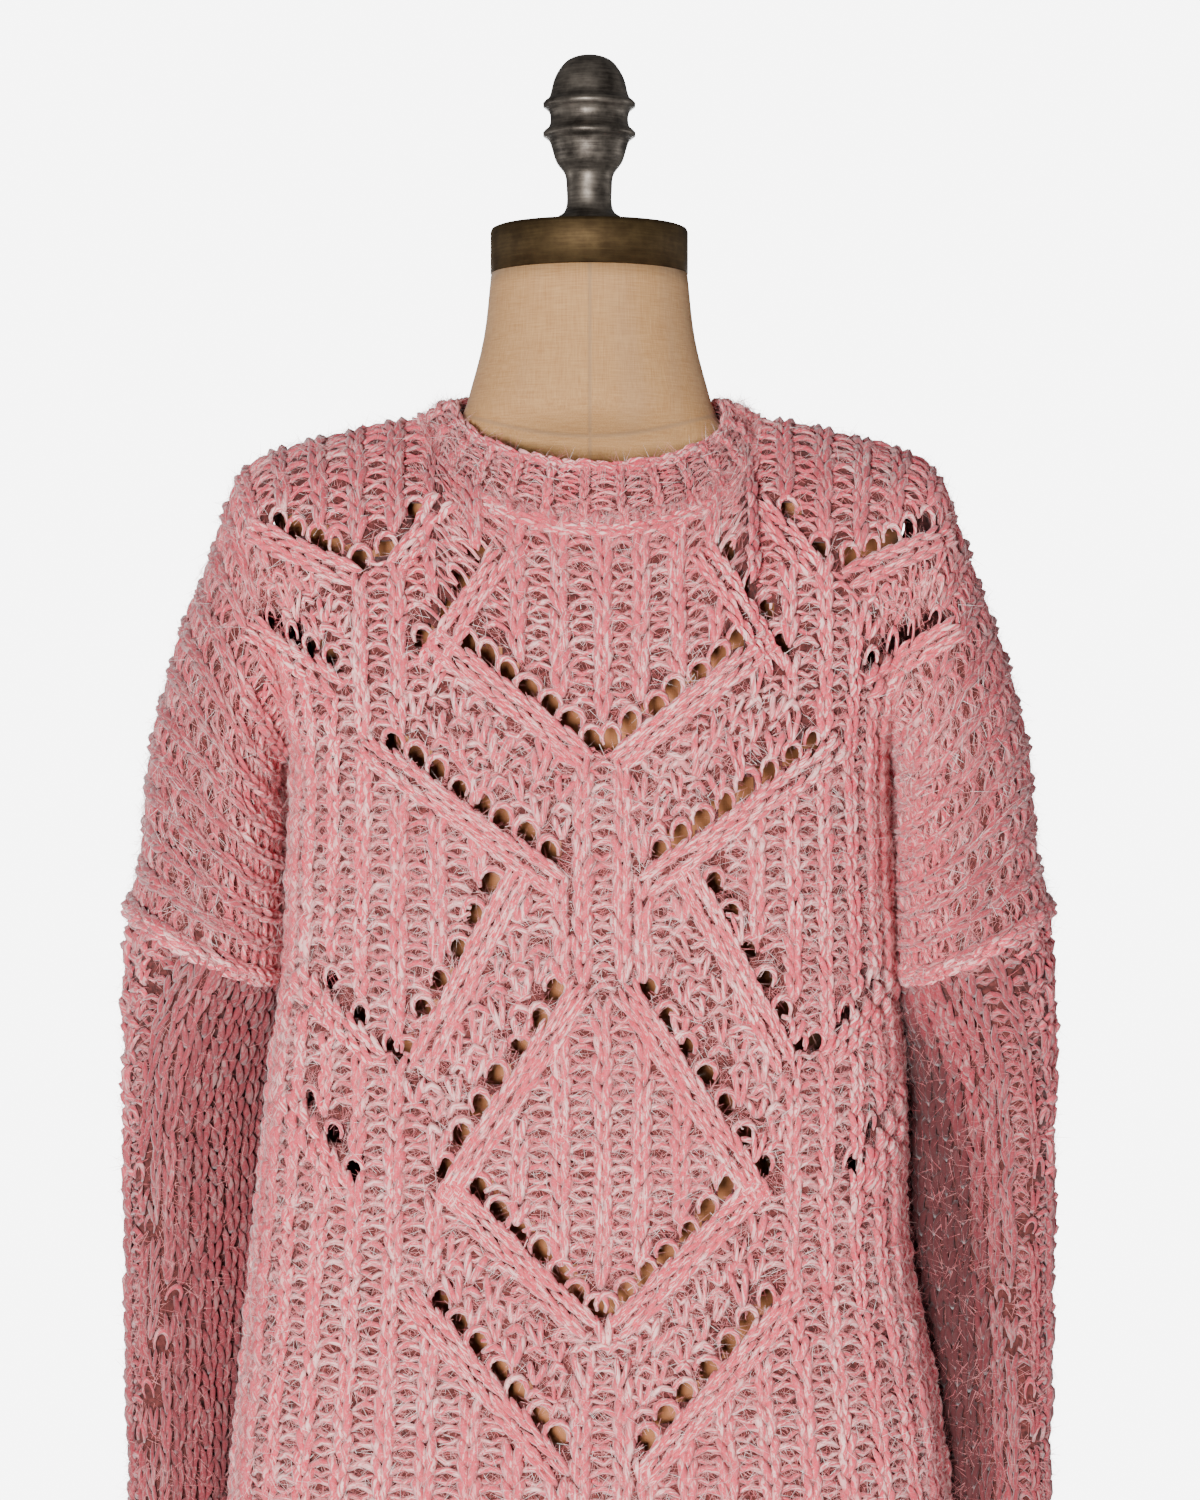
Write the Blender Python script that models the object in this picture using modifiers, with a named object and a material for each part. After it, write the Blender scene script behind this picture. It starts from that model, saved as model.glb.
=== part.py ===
"""A chunky rib-and-eyelet wool sweater with dropped shoulders, on a limbless dress form with its stand.

Metres, +Z up, the front faces -Y. The origin is the middle of the stand's underside.
Knitted pieces are walls lofted from wale to wale. Their ribs are raised in the outer
points only, and the eyelets of the diamond pattern are cut through.
"""

import math

import bmesh
import bpy
import numpy as np
from mathutils import Vector

for old in list(bpy.data.objects):
    bpy.data.objects.remove(old, do_unlink=True)
COLLECTION = bpy.data.collections.new("wool_sweater_on_dress_form")
bpy.context.scene.collection.children.link(COLLECTION)

# Knitted cloth
RIB = 0.0215          # one raised wale and the purl column beside it
RIB_HEIGHT = 0.0026   # how far a wale stands above the purl column
WALL = 0.0030         # cloth between the purl column's face and the plain inside
SEAM_GAP = 0.0003
ARMHOLE_GAP = 0.0027
BODY_RIBS = 11        # from the centre of a panel to its side seam
ARM_RIBS = 9          # from there to the armhole, over the dropped shoulder
SLEEVE_RIBS = 16
SLEEVE_ROUND = 0.30   # about how far round a sleeve is
ARM_MIDDLE = 0.213    # how far out the middle of each arm hangs
CUFF_RIBS = 11
NECK_RIBS = 22
PANEL_TURN = 0.0075   # the sweater sits this far round to its left on the form

# Heights
HEM_END = 0.800
HEM_SEAM = 0.860
ARMPIT = 1.300
BODY_ROWS = 7
YOKE_ROWS = (0.0, 0.20, 0.40, 0.60, 0.80, 1.0)

# Sections of the body: height, half width on each side, depth in front and behind
BODY = (
    ("z", "left", "right", "front", "back"),
    (0.800, 0.191, 0.191, 0.112, 0.108),
    (0.860, 0.196, 0.197, 0.116, 0.112),
    (0.950, 0.189, 0.187, 0.112, 0.108),
    (1.030, 0.182, 0.172, 0.110, 0.104),
    (1.100, 0.175, 0.171, 0.113, 0.104),
    (1.180, 0.1670, 0.1670, 0.119, 0.103),
    (1.250, 0.1635, 0.1635, 0.122, 0.102),
    (1.300, 0.162, 0.162, 0.121, 0.101),
)
BODY_SQUARE = {"front": 2.5, "back": 2.1}   # exponents of the section: 2 is an ellipse

# The top edge from the neck over the shoulder and down the outer arm
SHOULDER = (
    ("x", "z"),
    (0.0900, 1.4860), (0.1075, 1.4845), (0.1395, 1.4778), (0.1660, 1.4708),
    (0.1845, 1.4635), (0.1935, 1.4560), (0.1990, 1.4440), (0.2040, 1.4280),
    (0.2150, 1.3960), (0.2260, 1.3650), (0.2345, 1.3340), (0.2410, 1.3020),
    (0.2440, 1.2690), (0.2465, 1.2420), (0.2535, 1.2180),
)
NECK_HALF_WIDTH = 0.090
FRONT_NECK = {"depth": 0.097, "low": 1.429}
BACK_NECK = {"depth": 0.070, "low": 1.484}

# How each wale leaves its lower end and meets the top edge, as handles of a curve.
# Side parts are outwards, fore parts are away from the middle plane.
WALES = (
    ("rib", "low_side", "low_fore", "low_up", "top_side", "top_fore", "top_up", "back_fore", "back_up"),
    (0.0, 0.000, 0.000, 0.045, 0.000, 0.006, -0.040, 0.030, -0.030),
    (2.0, 0.000, 0.000, 0.045, 0.000, 0.012, -0.038, 0.036, -0.026),
    (4.0, 0.001, 0.000, 0.050, -0.001, 0.052, -0.016, 0.058, -0.016),
    (6.0, 0.003, 0.004, 0.055, -0.003, 0.074, -0.010, 0.074, -0.010),
    (8.0, 0.004, 0.012, 0.055, -0.006, 0.082, -0.012, 0.082, -0.012),
    (10.0, 0.002, 0.050, 0.042, -0.010, 0.086, -0.018, 0.086, -0.018),
    (11.0, 0.000, 0.086, 0.026, -0.008, 0.090, -0.016, 0.090, -0.016),
    (12.0, 0.000, 0.094, 0.010, -0.006, 0.096, -0.010, 0.096, -0.010),
    (15.0, -0.002, 0.104, -0.006, 0.000, 0.106, 0.000, 0.106, 0.000),
    (20.0, -0.002, 0.112, -0.008, 0.002, 0.112, 0.004, 0.112, 0.004),
)
UNDERARM = (
    ("rib", "x", "z"),
    (11.0, 0.162, 1.300), (11.5, 0.1672, 1.302), (12.0, 0.1715, 1.296),
    (15.0, 0.1735, 1.256), (20.0, 0.1745, 1.180),
)

# Sections of a sleeve below the armhole: its plan is an ellipse, turned so that
# its back edge lies further in. rise is how much higher the outer side is.
SLEEVE = (
    ("z", "x", "y", "long", "short", "turn", "rise"),
    (1.199, 0.2140, 0.000, 0.0840, 0.0395, 0.0, 0.0390),
    (1.165, 0.2150, 0.008, 0.0815, 0.0375, 10.0, 0.0200),
    (1.120, 0.2155, 0.020, 0.0760, 0.0320, 19.0, 0.0060),
    (1.020, 0.2160, 0.034, 0.0670, 0.0290, 26.0, 0.0000),
    (0.930, 0.2190, 0.042, 0.0600, 0.0260, 28.0, 0.0000),
    (0.860, 0.2205, 0.045, 0.0560, 0.0240, 28.0, 0.0000),
    (0.828, 0.2205, 0.045, 0.0480, 0.0235, 28.0, 0.0000),
)
CUFF = (
    ("z", "x", "y", "long", "short", "turn", "rise"),
    (0.828, 0.2205, 0.045, 0.0420, 0.0215, 28.0, 0.0),
    (0.768, 0.2205, 0.045, 0.0420, 0.0225, 28.0, 0.0),
)

# Lines of eyelets: across from the panel's centre and height, first and last, mirrored
EYELETS = (
    ("x0", "z0", "x1", "z1", "count"),
    (0.0717, 1.3614, 0.0053, 1.3094, 7),
    (0.1115, 1.3083, 0.0292, 1.2499, 8),
    (0.0664, 1.4092, 0.0956, 1.3614, 4),
    (0.0584, 1.2340, 0.1035, 1.1464, 6),
    (0.1460, 1.1782, 0.1130, 1.1464, 3),
    (0.0239, 1.1782, 0.0850, 1.0826, 7),
    (0.0664, 1.0694, 0.0027, 1.0056, 7),
    (0.0876, 1.0110, 0.0239, 0.9366, 7),
    (0.1577, 1.1145, 0.1322, 1.0800, 3),
    (0.1780, 1.4285, 0.1326, 1.4075, 5),
    (0.1177, 1.4120, 0.1010, 1.4340, 2),
    (0.1800, 1.3740, 0.1450, 1.3525, 4),
)
SLEEVE_EYELETS = (
    ("rib", "z0", "z1", "step", "count"),
    (2.5, 1.130, 1.040, 0.5, 4),
    (5.0, 1.000, 0.920, -0.5, 4),
)
EYELET_HEIGHT = 0.016
EYELET_SHARE = 0.76   # of the column that it is cut in

# Rings of the neckband: half width, depth and height in front and behind, side height
NECKBAND = (
    ("half_width", "front", "back", "front_z", "back_z", "side_z"),
    (0.0866, 0.0950, 0.0682, 1.4326, 1.4854, 1.4902),
    (0.0790, 0.0880, 0.0640, 1.4500, 1.4960, 1.4950),
    (0.0705, 0.0785, 0.0610, 1.4640, 1.5020, 1.4945),
)

# Dress form: height, half width, half depth
FORM = (
    ("z", "half_width", "half_depth"),
    (0.742, 0.140, 0.088),
    (0.748, 0.156, 0.098),
    (0.860, 0.164, 0.101),
    (0.950, 0.150, 0.096),
    (1.060, 0.120, 0.086),
    (1.150, 0.134, 0.092),
    (1.250, 0.145, 0.095),
    (1.330, 0.150, 0.091),
    (1.390, 0.163, 0.076),
    (1.425, 0.175, 0.057),
    (1.444, 0.1765, 0.047),
    (1.4560, 0.166, 0.0405),
    (1.4645, 0.142, 0.0355),
    (1.4720, 0.102, 0.0350),
    (1.4785, 0.074, 0.0430),
    (1.4900, 0.0655, 0.0545),
    (1.5060, 0.0625, 0.0560),
    (1.5330, 0.0582, 0.0550),
    (1.5692, 0.0550, 0.0550),
)
CAP_RADIUS = 0.0553
CAP_LOW, CAP_HIGH = 1.5695, 1.5950
POLE_RADIUS = 0.0125
BASE_RADIUS = 0.170

# Turned finial above the cap: radius and height
FINIAL = (
    ("r", "z"),
    (0.0175, 1.5953), (0.0180, 1.5985), (0.0150, 1.6015), (0.0118, 1.6040),
    (0.0118, 1.6225), (0.0155, 1.6265), (0.0205, 1.6350), (0.0222, 1.6430),
    (0.0256, 1.6462), (0.0262, 1.6488), (0.0240, 1.6520), (0.0222, 1.6560),
    (0.0252, 1.6610), (0.0262, 1.6640), (0.0240, 1.6675), (0.0206, 1.6710),
    (0.0196, 1.6760), (0.0170, 1.6835), (0.0110, 1.6892), (0.0000, 1.6910),
)


def table(rows):
    """The rows of a table as arrays by column name."""
    names = rows[0]
    return {name: np.array([row[i] for row in rows[1:]], float) for i, name in enumerate(names)}


def smooth(x, xs, ys):
    """A smooth curve through (xs, ys), read at x; xs may run up or down."""
    order = np.argsort(xs)
    xs, ys = np.asarray(xs)[order], np.asarray(ys)[order]
    x = float(np.clip(x, xs[0], xs[-1]))
    i = int(np.clip(np.searchsorted(xs, x) - 1, 0, len(xs) - 2))
    slopes = np.diff(ys) / np.diff(xs)
    left = slopes[i] if i == 0 else (slopes[i - 1] + slopes[i]) / 2
    right = slopes[i] if i == len(xs) - 2 else (slopes[i] + slopes[i + 1]) / 2
    step = xs[i + 1] - xs[i]
    t = (x - xs[i]) / step
    return ((2 * t**3 - 3 * t**2 + 1) * ys[i] + (t**3 - 2 * t**2 + t) * step * left
            + (3 * t**2 - 2 * t**3) * ys[i + 1] + (t**3 - t**2) * step * right)


def along(points, lengths):
    """Points at these lengths along a polyline."""
    steps = np.r_[0, np.cumsum(np.linalg.norm(np.diff(points, axis=0), axis=1))]
    return np.stack([np.interp(lengths, steps, points[:, k]) for k in range(points.shape[1])], axis=1)


def length_of(points):
    return float(np.linalg.norm(np.diff(points, axis=0), axis=1).sum())


BODY_T, WALES_T, UNDERARM_T = table(BODY), table(WALES), table(UNDERARM)
SHOULDER_T, FORM_T = table(SHOULDER), table(FORM)
FULL_RIBS = BODY_RIBS + ARM_RIBS


def shoulder_line():
    """The top edge as a fine polyline, from the neck's side to the armhole."""
    x, z = SHOULDER_T["x"], SHOULDER_T["z"]
    steps = np.r_[0, np.cumsum(np.hypot(np.diff(x), np.diff(z)))]
    fine = np.linspace(0, steps[-1], 200)
    return np.array([[smooth(s, steps, x), smooth(s, steps, z)] for s in fine])


SHOULDER_LINE = shoulder_line()


def body_point(z, ribs, side, back):
    """A point of the body's purl face, this many ribs from the panel's centre."""
    half = smooth(z, BODY_T["z"], BODY_T["right" if side > 0 else "left"])
    deep = smooth(z, BODY_T["z"], BODY_T["back" if back else "front"])
    angle = np.linspace(0, math.pi / 2, 90)
    power = 2 / BODY_SQUARE["back" if back else "front"]
    ring = np.stack([half * np.sin(angle) ** power, deep * np.cos(angle) ** power], axis=1)
    share = ribs / BODY_RIBS
    turn = 0.0 if back else PANEL_TURN * side * (1 - share)
    x, y = along(ring, [max(0.0, share * length_of(ring) + turn)])[0]
    return np.array([x * side, y if back else -y, z])


def top_point(ribs, side, back):
    """A point of the neckline, or of the shoulder and outer arm."""
    x = ribs * RIB
    if x < NECK_HALF_WIDTH:
        neck = BACK_NECK if back else FRONT_NECK
        arc = math.sqrt(1 - (x / NECK_HALF_WIDTH) ** 2)
        z = SHOULDER_LINE[0, 1] - (SHOULDER_LINE[0, 1] - neck["low"]) * arc
        y = neck["depth"] * arc
    else:
        share = (x - NECK_HALF_WIDTH) / (FULL_RIBS * RIB - NECK_HALF_WIDTH)
        x, z = along(SHOULDER_LINE, [share * length_of(SHOULDER_LINE)])[0]
        y = 0.0
    turn = 0.0 if back else PANEL_TURN * max(0.0, 1 - x / NECK_HALF_WIDTH)
    return np.array([x * side + turn, y if back else -y, z])


def yoke_point(ribs, share, side, back):
    """A point on a wale above the armpit, from its lower end at 0 to the top edge at 1."""
    fore = 1 if back else -1
    if ribs <= BODY_RIBS:
        low = body_point(ARMPIT, ribs, side, back)
    else:
        low = np.array([smooth(ribs, UNDERARM_T["rib"], UNDERARM_T["x"]) * side, 0.0,
                        smooth(ribs, UNDERARM_T["rib"], UNDERARM_T["z"])])
    top = top_point(ribs, side, back)
    handle = {name: smooth(ribs, WALES_T["rib"], WALES_T[name]) for name in WALES[0][1:]}
    leave = low + np.array([handle["low_side"] * side, handle["low_fore"] * fore, handle["low_up"]])
    top_fore, top_up = ("back_fore", "back_up") if back else ("top_fore", "top_up")
    meet = top + np.array([handle["top_side"] * side, handle[top_fore] * fore, handle[top_up]])
    t = share
    return ((1 - t) ** 3 * low + 3 * t * (1 - t) ** 2 * leave
            + 3 * t**2 * (1 - t) * meet + t**3 * top)


def panel_point(ribs, row, back):
    """Rows from 0 to 1 are the body up to the armpit, and from 1 to 2 the yoke."""
    side = 1 if ribs >= 0 else -1
    ribs = abs(ribs)
    if row < 1:
        return body_point(HEM_SEAM + SEAM_GAP + row * (ARMPIT - HEM_SEAM - SEAM_GAP), ribs, side, back)
    return yoke_point(ribs, row - 1, side, back)


def ellipse_point(ring, turn_share, side):
    """A point of a tube's section; turn_share runs once round from the outer side, front first."""
    angle = 2 * math.pi * turn_share
    lean = math.radians(ring["turn"])
    out, fore = ring["short"] * math.cos(angle), -ring["long"] * math.sin(angle)
    x = ring["x"] + out * math.cos(lean) - fore * math.sin(lean)
    y = ring["y"] + out * math.sin(lean) + fore * math.cos(lean)
    z = ring["z"] + ring["rise"] / 2 * math.cos(angle)
    return np.array([x * side, y, z])


def armhole_point(turn_share, side):
    """The sleeve's top edge follows the yoke's last wale, front half and back half."""
    turn_share %= 1
    back = turn_share > 0.5
    share = 2 * turn_share - 1 if back else 1 - 2 * turn_share
    edge = np.array([yoke_point(FULL_RIBS, row, side, back) for row in YOKE_ROWS])
    point = np.array([np.interp(share, YOKE_ROWS, edge[:, k]) for k in range(3)])
    return point - np.array([0.0, 0.0, ARMHOLE_GAP])


def sleeve_point(turn_share, z, side):
    """A point of the sleeve's purl face at a height of its middle line."""
    t = table(SLEEVE)
    ring = {name: smooth(z, t["z"], t[name]) for name in SLEEVE[0]}
    point = ellipse_point(ring, turn_share, side)
    blend = float(np.clip((z - SLEEVE[2][0]) / (SLEEVE[1][0] - SLEEVE[2][0]), 0, 1))
    return (1 - blend) * point + blend * armhole_point(turn_share, side)


def normals_on(point, across, up, step_across, step_up, limits, outward):
    """Unit normals of the surface point(across, up) at a grid of places.

    limits(across, up) gives the lowest and highest of each that the piece has there.
    """
    normals = np.zeros((len(up), len(across), 3))
    for row, v in enumerate(up):
        for column, u in enumerate(across):
            low_u, high_u, low_v, high_v = limits(u, v)
            side = (np.array(point(min(u + step_across, high_u), v))
                    - np.array(point(max(u - step_across, low_u), v)))
            rise = (np.array(point(u, min(v + step_up, high_v)))
                    - np.array(point(u, max(v - step_up, low_v))))
            normal = np.cross(side, rise)
            normal /= max(np.linalg.norm(normal), 1e-12)
            away = outward(np.array(point(u, v)), u, v)
            normals[row, column] = normal if normal @ away >= 0 else -normal
    return normals


def flattened(normals, axis):
    """The same normals with no part along one axis."""
    flat = np.array(normals)
    flat[..., axis] = 0
    return flat / np.linalg.norm(flat, axis=-1, keepdims=True)


def add_object(name, bm, material):
    mesh = bpy.data.meshes.new(name)
    bmesh.ops.recalc_face_normals(bm, faces=bm.faces)
    bm.to_mesh(mesh)
    bm.free()
    mesh.materials.append(material)
    obj = bpy.data.objects.new(name, mesh)
    COLLECTION.objects.link(obj)
    return obj


def quad_hole(corners, low, high, margin):
    """Four points inside a cell, for an eyelet between two shares of its height."""
    a, b, c, d = corners  # lower left, lower right, upper right, upper left
    def inside(u, v):
        return (a * (1 - u) + b * u) * (1 - v) + (d * (1 - u) + c * u) * v
    return [inside(margin, low), inside(1 - margin, low), inside(1 - margin, high), inside(margin, high)]


def wall(name, outer, inner, material, cells=None, holes=None, closed=False):
    """A cloth wall lofted through rows of outer and inner points.

    cells says which cells of the grid exist, and holes gives the cells with an
    eyelet as {(row, column): (low, high)}, in shares of the cell's height.
    """
    rows, columns = outer.shape[:2]
    spans = columns if closed else columns - 1
    holes = holes or {}
    bm = bmesh.new()
    made = {}

    def vert(layer, row, column):
        key = (layer, row, column % columns)
        if key not in made:
            made[key] = bm.verts.new(Vector((outer, inner)[layer][row, column % columns]))
        return made[key]

    def exists(row, column):
        if closed:
            column %= columns
        if not (0 <= row < rows - 1 and 0 <= column < spans):
            return False
        return cells is None or bool(cells[row, column])

    for row in range(rows - 1):
        for column in range(spans):
            if not exists(row, column):
                continue
            keys = ((row, column), (row, column + 1), (row + 1, column + 1), (row + 1, column))
            rings = []
            for layer in (0, 1):
                ring = [vert(layer, *key) for key in keys]
                if (row, column) in holes:
                    low, high = holes[row, column]
                    corners = [np.array(v.co) for v in ring]
                    hole = quad_hole(corners, low, high, (1 - EYELET_SHARE) / 2)
                    cut = [bm.verts.new(Vector(p)) for p in hole]
                    for k in range(4):
                        bm.faces.new((ring[k], ring[(k + 1) % 4], cut[(k + 1) % 4], cut[k]))
                    rings.append(cut)
                else:
                    bm.faces.new(ring)
            if rings:
                for k in range(4):
                    bm.faces.new((rings[0][k], rings[0][(k + 1) % 4], rings[1][(k + 1) % 4], rings[1][k]))
            around = ((row - 1, column), (row, column + 1), (row + 1, column), (row, column - 1))
            for k, beside in enumerate(around):
                if not exists(*beside):
                    a, b = keys[k], keys[(k + 1) % 4]
                    bm.faces.new((vert(0, *a), vert(0, *b), vert(1, *b), vert(1, *a)))
    return add_object(name, bm, material)


def ribbed(points, normals, peaks):
    """Outer points raised at the wales, and the plain inside."""
    outer = points + normals * (RIB_HEIGHT * peaks)[None, :, None]
    return outer, points - normals * WALL


def material(name, colour, roughness, metallic=0.0):
    made = bpy.data.materials.new(name)
    made.use_nodes = True
    shader = made.node_tree.nodes["Principled BSDF"]
    shader.inputs["Base Color"].default_value = (*colour, 1)
    shader.inputs["Roughness"].default_value = roughness
    shader.inputs["Metallic"].default_value = metallic
    return made


def panel_cells(columns, rows):
    """The body's cells reach the side seam, and the yoke's reach the armhole."""
    cells = np.ones((rows - 1, columns - 1), bool)
    arm = 2 * ARM_RIBS
    cells[:BODY_ROWS, :arm] = False
    cells[:BODY_ROWS, columns - 1 - arm:] = False
    return cells


def eyelet_cells(points, cells, least):
    """Each eyelet goes to the cell that its place falls in; least is the shortest line to cut."""
    holes = {}
    middle = (points[:-1, :-1] + points[1:, :-1] + points[:-1, 1:] + points[1:, 1:]) / 4
    lines = table(EYELETS)
    arm = 2 * ARM_RIBS - 1
    body = cells.copy()
    body[:, :arm] = body[:, cells.shape[1] - arm:] = False
    for n in range(len(lines["count"])):
        count = int(lines["count"][n])
        for k in range(count if count >= least else 0):
            t = k / (count - 1)
            x = lines["x0"][n] * (1 - t) + lines["x1"][n] * t
            z = lines["z0"][n] * (1 - t) + lines["z1"][n] * t
            for side in (1, -1):
                place = np.array([x * side + PANEL_TURN, z])
                tall = np.abs(points[1:, :-1, 2] - points[:-1, :-1, 2])
                across = np.abs(middle[:, :, 0] - place[0])
                beyond = np.maximum(0, np.abs(middle[:, :, 2] - place[1]) - tall / 2)
                far = across + beyond * 3 + np.where(body, 0, 9)
                row, column = np.unravel_index(np.argmin(far), far.shape)
                height = max(tall[row, column], 0.02)
                share = (place[1] - middle[row, column, 2]) / height + 0.5
                half = EYELET_HEIGHT / 2 / height
                share = float(np.clip(share, half + 0.12, 1 - half - 0.12)) if half < 0.38 else 0.5
                half = min(half, 0.38)
                holes.setdefault((int(row), int(column)), (share - half, share + half))
    return holes


def knitted_panel(name, back, wool):
    """Front or back: the body, the yoke and both dropped shoulders in one piece."""
    ribs = np.arange(-2 * FULL_RIBS, 2 * FULL_RIBS + 1) / 2
    rows = [k / BODY_ROWS for k in range(BODY_ROWS)] + [1 + share for share in YOKE_ROWS]
    fore = 1 if back else -1

    def point(rib, row):
        return panel_point(rib if row >= 1 else float(np.clip(rib, -BODY_RIBS, BODY_RIBS)), row, back)

    def limits(rib, row):
        widest = BODY_RIBS if row < 1 else FULL_RIBS
        return -widest, widest, 0 if abs(rib) <= BODY_RIBS else 1, 2

    def outward(place, rib, row):
        if abs(rib) > BODY_RIBS:
            return np.array([(place[0] - math.copysign(ARM_MIDDLE, rib)) * 3, fore * 0.05, 0.02])
        return np.array([place[0], fore * 0.3, 0.1])

    points = np.array([[point(rib, row) for rib in ribs] for row in rows])
    normals = normals_on(point, ribs, rows, 0.25, 0.02, limits, outward)
    at_side, arm = np.abs(ribs) == BODY_RIBS, np.abs(ribs) > BODY_RIBS
    shoulder = np.abs(ribs) * RIB >= NECK_HALF_WIDTH
    normals[:BODY_ROWS + 1, at_side] = np.sign(ribs[at_side])[:, None] * np.array([1.0, 0, 0])
    normals[BODY_ROWS, arm] = flattened(normals[BODY_ROWS, arm], 1)
    normals[-1, shoulder] = flattened(normals[-1, shoulder], 1)
    normals[BODY_ROWS:, [0, -1]] = flattened(normals[BODY_ROWS:, [0, -1]], 2)
    cells = panel_cells(len(ribs), len(rows))
    outer, inner = ribbed(points, normals, (np.arange(len(ribs)) % 2 == 0).astype(float))
    edge = SEAM_GAP / 2
    for layer in (outer, inner):
        layer[..., 1] = np.maximum(layer[..., 1], edge) if back else np.minimum(layer[..., 1], -edge)
        layer[-1, shoulder, 1] = fore * edge
        layer[:BODY_ROWS + 1, at_side, 1] = fore * edge
        layer[BODY_ROWS, arm, 1] = fore * edge
        layer[0, :, 2] = HEM_SEAM + SEAM_GAP
    return wall(name, outer, inner, wool, cells, eyelet_cells(points, cells, 5 if back else 2))


def hem_band(name, back, wool):
    """A ribbed band below one panel."""
    ribs = np.arange(-2 * BODY_RIBS, 2 * BODY_RIBS + 1) / 2

    def point(rib, z):
        return body_point(z, abs(rib), 1 if rib >= 0 else -1, back)

    def limits(rib, z):
        return -BODY_RIBS, BODY_RIBS, HEM_END, HEM_SEAM

    def outward(place, rib, z):
        return place * np.array([1, 1, 0])

    points = np.array([[point(rib, z) for rib in ribs] for z in (HEM_END, HEM_SEAM)])
    normals = normals_on(point, ribs, (HEM_END, HEM_SEAM), 0.25, 0.01, limits, outward)
    normals = flattened(normals, 2)
    normals[:, [0, -1]] = np.array([[-1, 0, 0], [1, 0, 0]])
    outer, inner = ribbed(points, normals, (np.arange(len(ribs)) % 2 == 0).astype(float))
    edge = SEAM_GAP / 2
    for layer in (outer, inner):
        layer[..., 1] = np.maximum(layer[..., 1], edge) if back else np.minimum(layer[..., 1], -edge)
        layer[:, [0, -1], 1] = edge if back else -edge
        layer[0, :, 2], layer[1, :, 2] = HEM_END, HEM_SEAM
    return wall(name, outer, inner, wool)


def sleeve_half(name, side, back, wool):
    """The front or back half of a sleeve, from the armhole to the cuff's seam."""
    columns = SLEEVE_RIBS + 1
    trim = SEAM_GAP / 2 / SLEEVE_ROUND
    shares = np.linspace(0, 0.5, columns)
    shares[0], shares[-1] = trim, 0.5 - trim
    if back:
        shares = 1 - shares
    heights = [row[0] for row in SLEEVE[1:]][::-1]

    def point(share, z):
        return sleeve_point(share, z, side)

    def limits(share, z):
        return -1, 2, heights[0], heights[-1]

    def outward(place, share, z):
        return place - (point(share, z) + point(share + 0.5, z)) / 2

    points = np.array([[point(s, z) for s in shares] for z in heights])
    normals = normals_on(point, shares, heights, 0.01, 0.005, limits, outward)
    normals[[0, -1]] = flattened(normals[[0, -1]], 2)
    peaks = (np.arange(columns) % 2 == 0).astype(float)
    outer, inner = ribbed(points, normals, peaks)
    lines = table(SLEEVE_EYELETS)
    holes = {}
    for n in range(len(lines["count"])):
        for k in range(int(lines["count"][n])):
            z = lines["z0"][n] + (lines["z1"][n] - lines["z0"][n]) * k / (lines["count"][n] - 1)
            column = int(2 * (lines["rib"][n] + lines["step"][n] * k))
            row = int(np.searchsorted(heights, z)) - 1
            tall = heights[row + 1] - heights[row]
            share = float(np.clip((z - heights[row]) / tall, 0.3, 0.7))
            holes[row, column] = (share - EYELET_HEIGHT / 2 / tall, share + EYELET_HEIGHT / 2 / tall)
    return wall(name, outer, inner, wool, holes=holes)


def tube_points(rows, around, side):
    t = table(rows)
    rings = [{name: t[name][k] for name in rows[0]} for k in range(len(t["z"]))]
    shares = np.arange(around) / around
    return np.array([[ellipse_point(ring, s, side) for s in shares] for ring in rings])


def ring_normals(points):
    """Outward normals of closed rings, from the step round and the step up."""
    around = np.roll(points, -1, axis=1) - np.roll(points, 1, axis=1)
    up = np.gradient(points, axis=0)
    normal = np.cross(around, up)
    normal /= np.linalg.norm(normal, axis=2, keepdims=True)
    outward = points - points.mean(axis=1, keepdims=True)
    flip = np.sign((normal * outward).sum(axis=2, keepdims=True))
    return normal * flip


def cuff(name, side, wool):
    points = tube_points(CUFF, 2 * CUFF_RIBS, side)[::-1]
    points[-1, :, 2] -= SEAM_GAP
    peaks = (np.arange(points.shape[1]) % 2 == 0).astype(float)
    outer, inner = ribbed(points, ring_normals(points), peaks)
    outer[-1, :, 2] = inner[-1, :, 2] = CUFF[1][0] - SEAM_GAP
    return wall(name, outer, inner, wool, closed=True)


def neckband_points():
    t = table(NECKBAND)
    rings = []
    for k in range(len(t["half_width"])):
        ring = []
        for n in range(2 * NECK_RIBS):
            angle = math.pi * n / NECK_RIBS
            fore = math.cos(angle)
            back = fore < 0
            deep = t["back" if back else "front"][k]
            end = t["back_z" if back else "front_z"][k]
            z = t["side_z"][k] + (end - t["side_z"][k]) * abs(fore)
            turn = 0.0 if back else PANEL_TURN * fore
            ring.append((t["half_width"][k] * math.sin(angle) + turn, -deep * fore, z))
        rings.append(ring)
    return np.array(rings)


def neckband(wool):
    points = neckband_points()
    peaks = (np.arange(points.shape[1]) % 2 == 0).astype(float)
    outer, inner = ribbed(points, ring_normals(points), peaks)
    return wall("neckband", outer, inner, wool, closed=True)


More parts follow.
